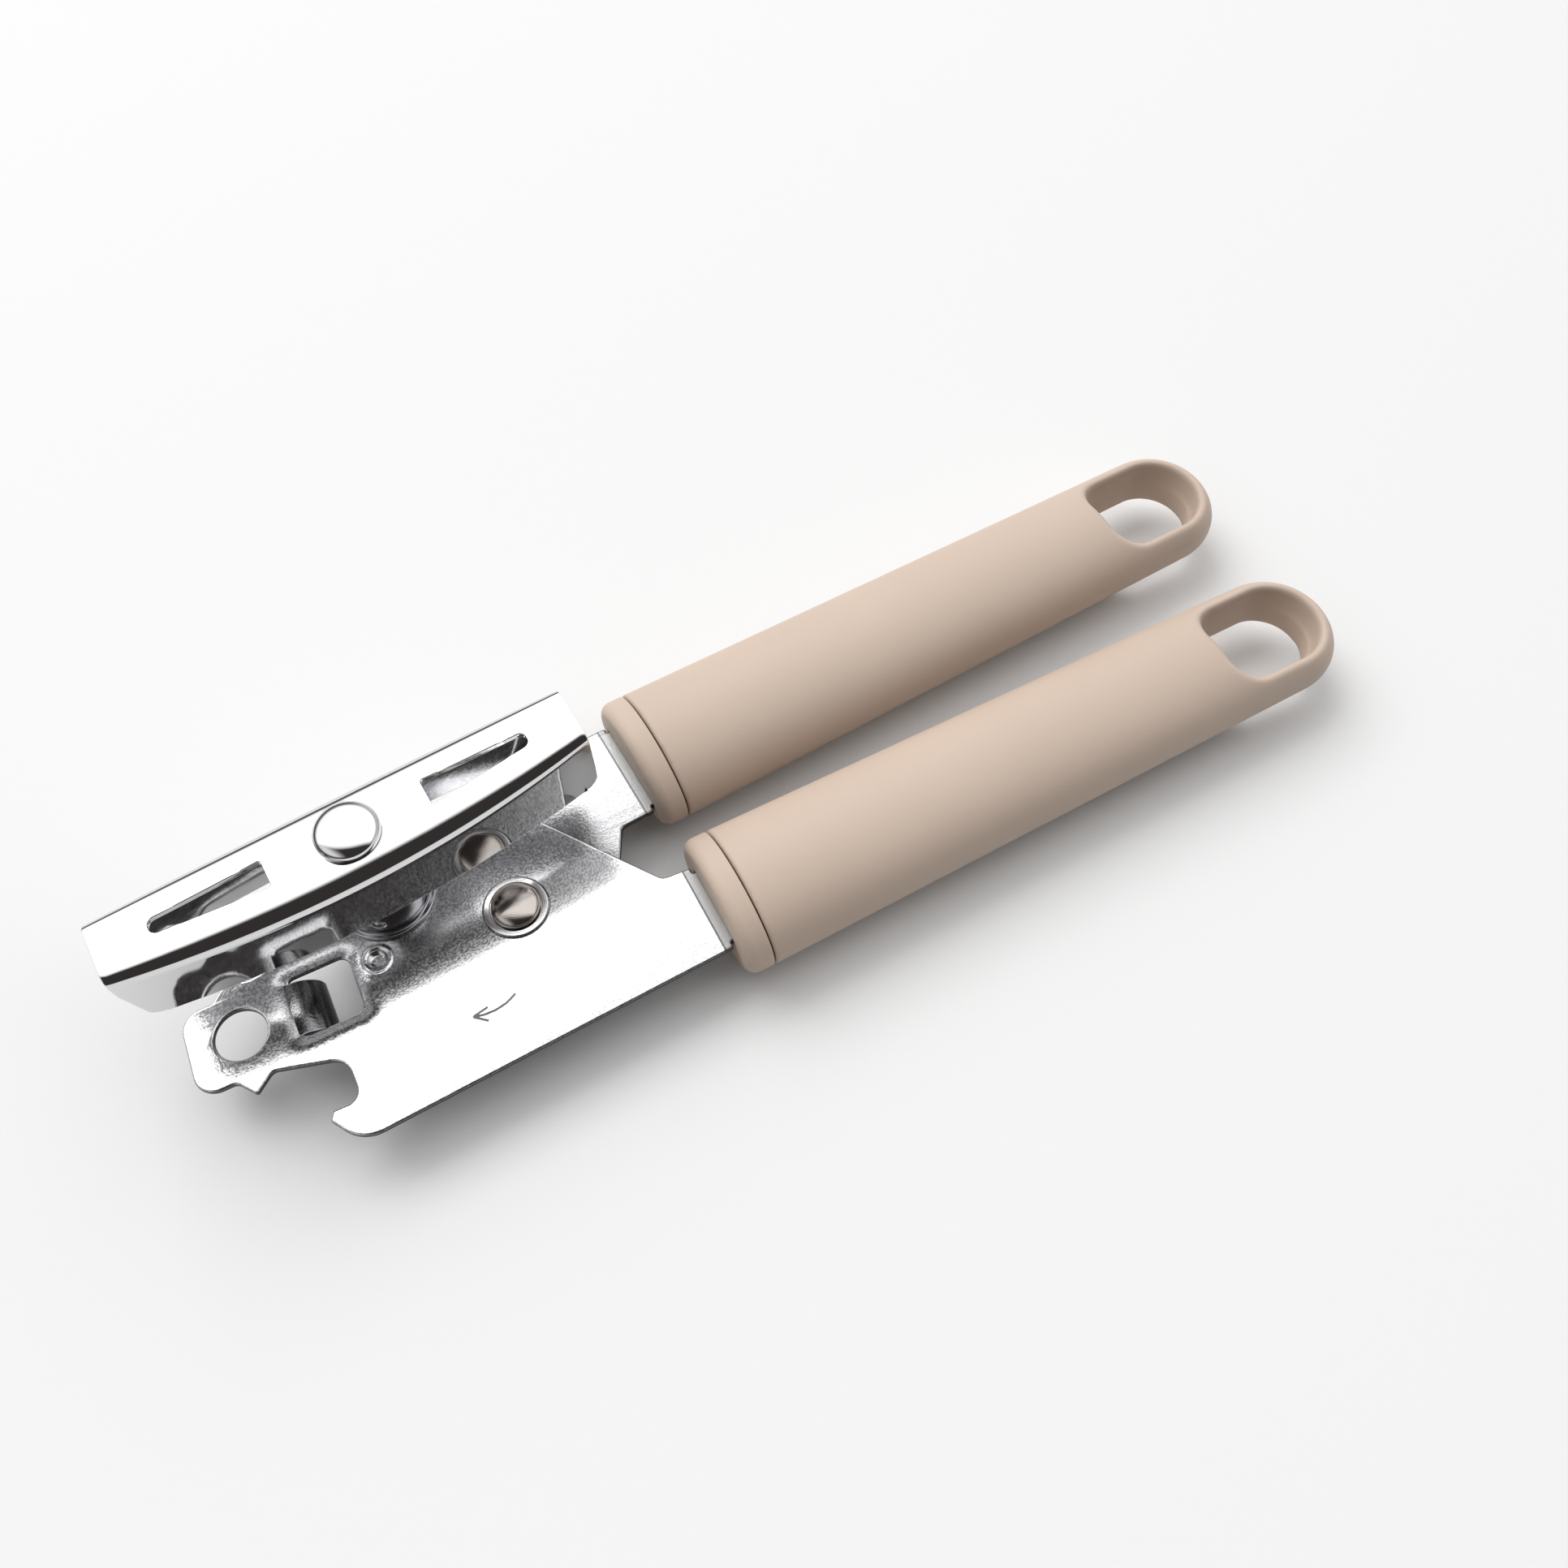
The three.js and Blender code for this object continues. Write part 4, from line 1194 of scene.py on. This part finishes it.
def key_shell(shaft, key_top):
    """The folded channel, narrowed and raised toward its ends, at rest."""
    key = settings().key
    stations = 97
    cos, sin = math.cos(key.angle), math.sin(key.angle)
    bm = bmesh.new()
    rows = []
    for k in range(stations):
        along = key.length * (k / (stations - 1) - 0.5)
        share = (along / (key.length / 2)) ** 2
        narrow = (key.half_width - key.end_half_width) * share
        bend = key.bend + key.bend_swell * (1 - share)
        row = []
        for across, level in key_section(bend):
            ratio = min(1, abs(across) / (key.half_width - bend))
            moved = across - math.copysign(narrow * ratio, across)
            x, y = along * cos - moved * sin, along * sin + moved * cos
            height = key_top + level + key.end_rise * share
            row.append(bm.verts.new(((shaft.x + x) * MM, (shaft.y + y) * MM, height * MM)))
        rows.append(row)
    count = len(rows[0])
    for below, above in zip(rows, rows[1:]):
        for i in range(count):
            j = (i + 1) % count
            bm.faces.new((below[i], below[j], above[j], above[i]))
    bm.faces.new(rows[0])
    bm.faces.new(list(reversed(rows[-1])))
    return link("turning_key_sheet", mesh_from("turning_key_sheet", bm))


def key_place(shaft, points, flip=1):
    """Points drawn along and across the key, moved to where the key stands."""
    angle = settings().key.angle
    cos, sin = math.cos(angle), math.sin(angle)
    return [(shaft.x + flip * (a * cos - b * sin), shaft.y + flip * (a * sin + b * cos)) for a, b in points]


def flange_corner_tool(shaft, key_top, flip, side, slant):
    """What is cut from one lower corner of a flange."""
    key = settings().key
    end, radius, arc_end, margin = key.length / 2, 2.2, -0.3, 2
    low = key_top - key.flange + key.end_rise
    foot = end - slant - radius
    fold = key_top - key.bend
    outline = [(foot - 0.3, low - 1), (foot, low)]
    outline += arc((foot, low + radius), radius, -math.pi / 2, arc_end, math.radians(8))
    outline += [(end + 0.15, fold), (end + margin, fold), (end + margin, low - 1)]
    bm = bmesh.new()
    loops = []
    for across in sorted((side, side * (key.half_width + margin))):
        there = key_place(shaft, [(along, across) for along, _ in outline], flip)
        loops.append([bm.verts.new((x * MM, y * MM, z * MM)) for (x, y), (_, z) in zip(there, outline)])
    bridged(bm, *loops)
    return link("corner_tool", mesh_from("corner_tool", bm))


KEY_WINDOW = [(12.2, -2.35, 0.4), (28.6, -1.2, 1.14), (28.6, 1.2, 1.14), (12.2, 2.35, 0.4)]
FLANGE_SLANTS = {-1: 0.0, 1: 1.0}     # how far each flange's foot draws back at its ends, by side
KEY_EDGE = 0.16


class OPENER_OT_turning_key(bpy.types.Operator):
    """Builds the folded butterfly key with its two tapered windows"""

    bl_idname = "opener.turning_key"
    bl_label = "Turning Key"

    def execute(self, context):
        shaft = Span("drive_shaft")
        key_top = web_level(shaft)
        key = key_shell(shaft, key_top)
        window = rounded(KEY_WINDOW)
        levels = key_top - 4, key_top + 6     # through the web and clear of its raised ends
        for flip in (1, -1):
            boolean(key, prism("window_tool", key_place(shaft, window, flip), *levels))
            for side, slant in FLANGE_SLANTS.items():
                boolean(key, flange_corner_tool(shaft, key_top, flip, side, slant))
        bevel = key.modifiers.new("edges", "BEVEL")
        bevel.limit_method = "ANGLE"
        bevel.angle_limit = math.radians(55)
        bevel.width = KEY_EDGE * MM
        bevel.segments = 3
        bevel.use_clamp_overlap = False
        welded(apply_modifiers(key))
        finished(key, "key", "turning_key", shared(key_chrome), 34)
        return {"FINISHED"}


def hexagon_nut(nut):
    """A chamfered hexagon with a plain bore, standing as the shaft's nut does."""
    flats, bore, small, wide, chamfer = 7.0, THREAD_RADIUS + CLEARANCE, 3.45, 4.4, 0.55
    corners = circle(nut.x, nut.y, flats / math.sqrt(3), 6, math.pi / 6)
    hexagon = prism("feed_nut_hex", corners, nut.bottom, nut.top)
    barrel = [(0, nut.bottom), (small, nut.bottom), (wide, nut.bottom + chamfer),
              (wide, nut.top - chamfer), (small, nut.top), (0, nut.top)]
    boolean(hexagon, turned("chamfer", nut.x, nut.y, barrel), "INTERSECT")
    hole = [(0, nut.bottom - 1), (bore, nut.bottom - 1), (bore, nut.top + 1), (0, nut.top + 1)]
    boolean(hexagon, turned("nut_bore", nut.x, nut.y, hole))
    return hexagon


class OPENER_OT_feed_train(bpy.types.Operator):
    """Builds the washer, serrated feed wheel and nut on the shaft's lower end"""

    bl_idname = "opener.feed_train"
    bl_label = "Feed Wheel"

    def execute(self, context):
        washer, wheel, nut = (Span(n) for n in ("feed_washer", "feed_wheel", "feed_nut"))
        ring = turned("feed_spacer", washer.x, washer.y, ring_profile(
            SHAFT_RADIUS + CLEARANCE, washer.radius, washer.bottom, washer.top, 0.15))
        finished(ring, "key", "feed_washer", turned_steel("feed_washer_steel", washer), 40)
        teeth, reach, depth, square, angle = 20, 6.6, 0.6, 4.5, settings().key.angle
        outline = []
        for i in range(teeth * 2):
            turn = angle + math.pi * i / teeth
            radius = reach - (depth if i % 2 else 0)
            outline.append((wheel.x + radius * math.cos(turn), wheel.y + radius * math.sin(turn)))
        bore = [(wheel.x + x, wheel.y + y) for x, y in square_outline(square, angle)]
        feed = sheet_plate("feed_wheel_serrated", [outline, bore], wheel.bottom, wheel.top, 0.14)
        finished(feed, "key", "feed_wheel", turned_steel("feed_wheel_steel", wheel), 30)
        finished(hexagon_nut(nut), "key", "feed_nut", turned_steel("feed_nut_steel", nut), 20)
        return {"FINISHED"}


def disc_profile(low, high):
    """The cutter: a hub, a shallow recess under the disc and a blunt bevelled edge."""
    bore, hub, bevel_start, edge, sink = 2.5, 5.2, 7.1, 9.5, 0.12
    return [(bore, low), (hub, low), (hub + 0.15, low + sink), (bevel_start, low + sink),
            (bevel_start + 0.2, low + 0.02), (edge - 0.08, high - 0.32), (edge, high - 0.2),
            (edge - 0.04, high - 0.05), (edge - 0.2, high), (bore, high), (bore, low)]


class OPENER_OT_cutter(bpy.types.Operator):
    """Builds the cutter wheel with its axle, spacer and washer"""

    bl_idname = "opener.cutter"
    bl_label = "Cutter Wheel"

    def execute(self, context):
        axle, spacer, wheel, washer = (
            Span(n) for n in ("cutter_axle", "cutter_spacer", "cutter_wheel", "cutter_washer"))
        rivet_head, bore = 3.5, AXLE_RADIUS + CLEARANCE
        plate_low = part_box("rear_plate")[0].z / MM
        tail_top = washer.bottom - CLEARANCE
        pin = rounded([(0, axle.bottom, 0), (rivet_head, axle.bottom, 0.4), (rivet_head, tail_top, 0.12),
                       (AXLE_RADIUS, tail_top, 0), (AXLE_RADIUS, plate_low, 0), (axle.radius, axle.top, 0),
                       (0, axle.top, 0)], closed=False)
        body = turned("cutter_axle_turned", axle.x, axle.y, pin)
        finished(body, "upper_lever", "cutter_axle", turned_steel("axle_steel", axle), 35)
        sleeve = turned("cutter_sleeve", spacer.x, spacer.y,
                        ring_profile(bore, spacer.radius, spacer.bottom, spacer.top, 0.2))
        sleeve_steel = turned_steel("cutter_sleeve_steel", spacer)
        finished(sleeve, "upper_lever", "cutter_spacer", sleeve_steel, 40)
        disc = turned("cutter_disc", wheel.x, wheel.y, disc_profile(wheel.bottom, wheel.top), 128)
        finished(disc, "cutter", "cutter_wheel", turned_steel("cutter_steel", wheel), 14)
        ring = turned("cutter_retainer", washer.x, washer.y,
                      ring_profile(bore, washer.radius, washer.bottom, washer.top, 0.1))
        washer_steel = turned_steel("cutter_washer_steel", washer)
        finished(ring, "upper_lever", "cutter_washer", washer_steel, 40)
        return {"FINISHED"}


# ---------------------------------------------------------------- handles
def handle_matrix(handle, middle):
    """Where a handle stands, with its axis along X."""
    x, y, angle, _ = handle
    return Matrix.Translation((x * MM, y * MM, middle * MM)) @ Matrix.Rotation(angle, 4, "Z")


def flattened(name, profile, handle, middle, sides=112):
    """A (radius, along) profile turned round the handle's axis, then flattened and put in place."""
    grip = settings().grip
    obj = turned(name, 0, 0, profile, sides)
    flat = Matrix.Diagonal((1, 1, grip.thickness / grip.width, 1))
    obj.data.transform(handle_matrix(handle, middle) @ flat @ Matrix.Rotation(math.pi / 2, 4, "Y"))
    return obj


def handle_points(handle, points):
    """Points drawn along and across a handle, moved to where it stands."""
    x, y, angle, _ = handle
    cos, sin = math.cos(angle), math.sin(angle)
    return [(x + a * cos - b * sin, y + a * sin + b * cos) for a, b in points]


def tang_slot(handle, level):
    """The slot in a cap that the plate's tongue runs into."""
    plate = settings().plate
    half = handle[3] - plate.shoulder + 2 * CLEARANCE
    half_depth = 0.9
    box = [(-1, -half), (plate.tang_length, -half), (plate.tang_length, half), (-1, half)]
    return prism("slot_tool", handle_points(handle, box), level - half_depth, level + half_depth)


def cap_profile():
    """Profile of an end cap along the handle, from its flat face to the seam."""
    grip = settings().grip
    radius, steps, seam = grip.width / 2, 12, 0.22
    turns = [math.pi / 2 * i / steps for i in range(steps + 1)]
    edge = [(radius - grip.cap_edge * (1 - math.sin(a)), grip.cap_edge * (1 - math.cos(a))) for a in turns]
    rear = rounded([(radius, grip.cap_edge, 0), (radius, grip.cap_length, seam), (0, grip.cap_length, 0)],
                   closed=False)
    return [(0, 0), (radius * 0.5, 0), *edge, *rear[1:]]


SEAM = 0.3            # gap between cap and grip, in millimetres


def grip_profile():
    """Profile of a grip along the handle, from the seam to its round end."""
    grip = settings().grip
    start = grip.cap_length + SEAM
    round_start = grip.length - grip.end_round
    half, half_end = grip.width / 2, grip.end_width / 2
    end_steps, side_steps = 24, 40
    lead = rounded([(0, start, 0), (half, start, SEAM), (half_end, round_start, 0)], closed=False)
    turns = [math.pi / 2 * i / end_steps for i in range(end_steps + 1)]
    end = [(half_end * math.cos(a), round_start + grip.end_round * math.sin(a)) for a in turns]
    side_start = start + 1
    shares = [i / side_steps for i in range(1, side_steps)]
    side = [(half + (half_end - half) * share, side_start + (round_start - side_start) * share)
            for share in shares]
    return [*lead[:-1], *side, *end]


def loop_span():
    """Where the hanging loop starts and ends along the handle."""
    grip = settings().grip
    end = grip.length - grip.loop_rim
    return end - grip.loop_length, end


LOOP_INNER_CORNER = 5.4
LOOP_OUTER_CORNER = 7.6


def loop_tool(handle):
    """What is cut from a grip for its hanging loop, before the edges are rounded."""
    start, end = loop_span()
    half = settings().grip.loop_half_width
    outline = rounded([(start, -half, LOOP_INNER_CORNER), (end, -half, LOOP_OUTER_CORNER),
                       (end, half, LOOP_OUTER_CORNER), (start, half, LOOP_INNER_CORNER)])
    low, high = -20, 30       # well past the grip's underside and top
    return prism("loop_tool", handle_points(handle, outline), low, high)


def round_meeting(a, b, radius):
    """Distance to the solid inside both a and b, with their meeting edge rounded."""
    corner = np.hypot(np.maximum(radius + a, 0), np.maximum(radius + b, 0))
    return np.minimum(-radius, np.maximum(a, b)) + corner


def loop_distance(along, across, up):
    """Distance from the hanging loop's drafted wall, below zero inside the loop."""
    grip = settings().grip
    low, high = loop_span()
    middle = (low + high) / 2
    corner = np.where(along < middle, LOOP_INNER_CORNER, LOOP_OUTER_CORNER)
    out_along = np.abs(along - middle) - (high - low) / 2 + corner
    out_across = np.abs(across) - grip.loop_half_width + corner
    loop = (np.hypot(np.maximum(out_along, 0), np.maximum(out_across, 0))
            + np.minimum(np.maximum(out_along, out_across), 0) - corner)
    loop += grip.loop_draft * np.clip(1 - up / (grip.thickness * 0.3), 0, 1)
    return loop + grip.loop_ledge * np.clip(0.5 - up / 0.5, 0, 1)


def grip_distance(points):
    """Distance in millimetres from the moulded grip's skin; points are along, across and up."""
    grip = settings().grip
    along, across, up = points.T
    flatness, none = grip.thickness / grip.width, 1e-9
    start = grip.cap_length + SEAM
    round_start = grip.length - grip.end_round
    half_end = grip.end_width / 2
    girth = np.sqrt(across ** 2 + (up / flatness) ** 2) + none
    steepness = np.sqrt(across ** 2 + up ** 2 / flatness ** 4) / girth + none
    reach = grip.width / 2 + (half_end - grip.width / 2) * (along - start) / (round_start - start)
    side = (girth - reach) / steepness
    past = np.maximum(along - round_start, 0)
    level = np.sqrt((past / grip.end_round) ** 2 + (girth / half_end) ** 2) + none
    rise = past / grip.end_round ** 2
    slope = np.sqrt(rise ** 2 + (girth * steepness / half_end ** 2) ** 2) / level + none
    body = np.where(along < round_start, side, (level - 1) / slope)
    body = round_meeting(body, start - along, 0.35)
    return round_meeting(body, -loop_distance(along, across, up), grip.loop_edge)


def settle_on_skin(obj, handle, middle, steps=4):
    """Moves the grip's vertices onto its exact rounded skin."""
    place = handle_matrix(handle, middle)
    obj.data.transform(place.inverted())
    points = np.empty(len(obj.data.vertices) * 3)
    obj.data.vertices.foreach_get("co", points)
    points = points.reshape(-1, 3) / MM
    reach, least_slope, longest_move = 0.01, 0.2, 0.5
    for _ in range(steps):
        here = grip_distance(points)
        slopes = []
        for axis in range(3):
            moved = points.copy()
            moved[:, axis] += reach
            slopes.append((grip_distance(moved) - here) / reach)
        slopes = np.stack(slopes, axis=1)
        lengths = np.maximum((slopes ** 2).sum(axis=1), least_slope)
        move = np.clip(here / lengths, -longest_move, longest_move)
        points -= slopes * move[:, None]
    obj.data.vertices.foreach_set("co", (points * MM).ravel())
    obj.data.transform(place)
    obj.data.update()
    return obj


def relaxed(obj, rounds):
    """Evens out the spacing of the grip's vertices."""
    smooth = obj.modifiers.new("relax", "SMOOTH")
    smooth.factor = 0.5
    smooth.iterations = rounds
    return apply_modifiers(obj)


def build_handle(name, handle, lever, level):
    """Builds one lever's cap, slotted for the tongue at this level, and its grip."""
    low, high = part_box(name + "_cap")
    middle = (low.z + high.z) / 2 / MM
    plastic = shared(beige_plastic)
    cap = flattened(name + "_end_cap", cap_profile(), handle, middle)
    boolean(cap, tang_slot(handle, level))
    finished(cap, lever, name + "_cap", plastic, 40)
    body = flattened(name + "_moulded_grip", grip_profile(), handle, middle)
    boolean(body, loop_tool(handle))
    remesh = body.modifiers.new("skin", "REMESH")
    remesh.mode = "VOXEL"
    remesh.voxel_size = settings().grip.cell * MM
    apply_modifiers(body)
    for rounds in (6, 3):
        settle_on_skin(body, handle, middle)
        relaxed(body, rounds)
    settle_on_skin(body, handle, middle)
    finished(body, lever, name + "_grip", plastic, 180, weighted=False)


class OPENER_OT_handles(bpy.types.Operator):
    """Builds the caps and grips of both levers"""

    bl_idname = "opener.handles"
    bl_label = "Handles"

    def execute(self, context):
        half_sheet = 0.6
        front_level = Span("shaft_bushing").bottom + half_sheet
        rear_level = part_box("rear_plate")[1].z / MM - half_sheet
        build_handle("lower", LOWER_HANDLE, "lower_lever", front_level)
        build_handle("upper", UPPER_HANDLE, "upper_lever", rear_level)
        return {"FINISHED"}


# ---------------------------------------------------------------- stage
DARK_SKY = (0.028, 0.025, 0.024)
WHITE = (1.0, 1.0, 1.0)
BACKDROP = (0.92, 0.92, 0.92, 1)


def light_tent():
    """A sky that is bright above and behind the opener and dark in front of it."""
    world = bpy.data.worlds.new("light_tent")
    world.use_nodes = True
    bpy.context.scene.world = world
    tree = world.node_tree
    background = tree.nodes["Background"]
    split = tree.nodes.new("ShaderNodeSeparateXYZ")
    tree.links.new(tree.nodes.new("ShaderNodeTexCoord").outputs["Generated"], split.inputs[0])
    # Light comes from behind, and a little from the far left.
    leaning = math_node(tree, "ADD", split.outputs["Y"], math_node(tree, "MULTIPLY", split.outputs["X"], 0.6))
    above = ranged(tree, leaning, -0.42, -0.04, 0, 1, smooth=True)
    side = ranged(tree, split.outputs["X"], -0.8, -0.4, 0.6, 0, smooth=True)
    lit = math_node(tree, "MAXIMUM", above, side)
    # Low directions are dark, except toward the right.
    horizon = ranged(tree, split.outputs["Z"], 0.18, 0.5, 0, 1, smooth=True)
    to_right = ranged(tree, split.outputs["X"], 0.1, 0.5, 0.05, 0.4, smooth=True)
    lit = math_node(tree, "MULTIPLY", lit, math_node(tree, "MAXIMUM", horizon, to_right))
    tree.links.new(mixed(tree, lit, DARK_SKY, WHITE), background.inputs["Color"])
    background.inputs["Strength"].default_value = settings().stage.sky
    backdrop = tree.nodes.new("ShaderNodeBackground")
    backdrop.inputs["Color"].default_value = BACKDROP
    shown = tree.nodes.new("ShaderNodeMixShader")
    tree.links.new(tree.nodes.new("ShaderNodeLightPath").outputs["Is Camera Ray"], shown.inputs["Fac"])
    tree.links.new(background.outputs[0], shown.inputs[1])
    tree.links.new(backdrop.outputs[0], shown.inputs[2])
    tree.links.new(shown.outputs[0], tree.nodes["World Output"].inputs["Surface"])


FLOOR_HALF_SIDE = 1.6         # metres, like everything below
FLOOR_CENTRE_X = 0.05
PANEL_OFFSET = (-0.5, 1.7, 2.0)
PANEL_SIZE = (2.2, 1.6)
PANEL_POWER = 42
SENSOR_WIDTH = 36             # millimetres


def aimed(obj, place, aim):
    """Puts a lamp or a camera in place and turns it toward a point."""
    obj.location = place
    obj.rotation_euler = (Vector(aim) - Vector(place)).to_track_quat("-Z", "Y").to_euler()


def area_light(name, place, aim, size, power):
    """A rectangular lamp that faces a point."""
    data = bpy.data.lights.new(name, "AREA")
    data.shape = "RECTANGLE"
    data.size, data.size_y = size
    data.energy = power
    aimed(link(name, data), place, aim)


class OPENER_OT_stage(bpy.types.Operator):
    """Builds the floor, the lights and the camera"""

    bl_idname = "opener.stage"
    bl_label = "Stage"

    def execute(self, context):
        stage = settings().stage
        level = CAD_BOX[0].z
        bm = bmesh.new()
        bmesh.ops.create_grid(bm, x_segments=8, y_segments=8, size=FLOOR_HALF_SIDE)
        bmesh.ops.translate(bm, verts=bm.verts, vec=(FLOOR_CENTRE_X, 0, level))
        floor = link("floor", mesh_from("floor", bm))
        floor.data.materials.append(shared(pale_floor))
        light_tent()
        centre = Vector(stage.target)
        area_light("key_panel", centre + Vector(PANEL_OFFSET), centre, PANEL_SIZE, PANEL_POWER)
        camera = link("camera", bpy.data.cameras.new("camera"))
        aimed(camera, stage.camera, centre)
        camera.data.lens = stage.lens
        camera.data.sensor_width = SENSOR_WIDTH
        camera.data.clip_start = 0.005
        context.scene.camera = camera
        context.scene.view_settings.view_transform = "Standard"
        return {"FINISHED"}


class OPENER_PT_panel(bpy.types.Panel):
    """Lists the steps that build the opener"""

    bl_label = "Can Opener"
    bl_space_type = "VIEW_3D"
    bl_region_type = "UI"
    bl_category = "Opener"

    def draw(self, context):
        for operator in OPERATORS:
            self.layout.operator(operator.bl_idname)
        for name in ("plate", "key", "grip", "finish", "stage"):
            group = getattr(context.scene.opener, name)
            box = self.layout.box()
            box.label(text=name.title())
            for prop in group.bl_rna.properties:
                if prop.identifier not in {"rna_type", "name"}:
                    box.prop(group, prop.identifier)


OPERATORS = (
    OPENER_OT_front_plate, OPENER_OT_rear_plate, OPENER_OT_pivot, OPENER_OT_bushing, OPENER_OT_shaft,
    OPENER_OT_turning_key, OPENER_OT_feed_train, OPENER_OT_cutter, OPENER_OT_handles, OPENER_OT_stage,
)
CLASSES = (
    PlateSettings, KeySettings, GripSettings, FinishSettings, StageSettings, OpenerSettings,
    *OPERATORS, OPENER_PT_panel,
)


def register():
    for cls in CLASSES:
        bpy.utils.register_class(cls)
    bpy.types.Scene.opener = PointerProperty(type=OpenerSettings)


def unregister():
    del bpy.types.Scene.opener
    for cls in reversed(CLASSES):
        bpy.utils.unregister_class(cls)


def main():
    register()
    build_effects()
    bpy.ops.opener.front_plate()
    bpy.ops.opener.rear_plate()
    bpy.ops.opener.pivot()
    bpy.ops.opener.bushing()
    bpy.ops.opener.shaft()
    bpy.ops.opener.turning_key()
    bpy.ops.opener.feed_train()
    bpy.ops.opener.cutter()
    bpy.ops.opener.handles()
    bpy.ops.opener.stage()


if __name__ == "__main__":
    main()
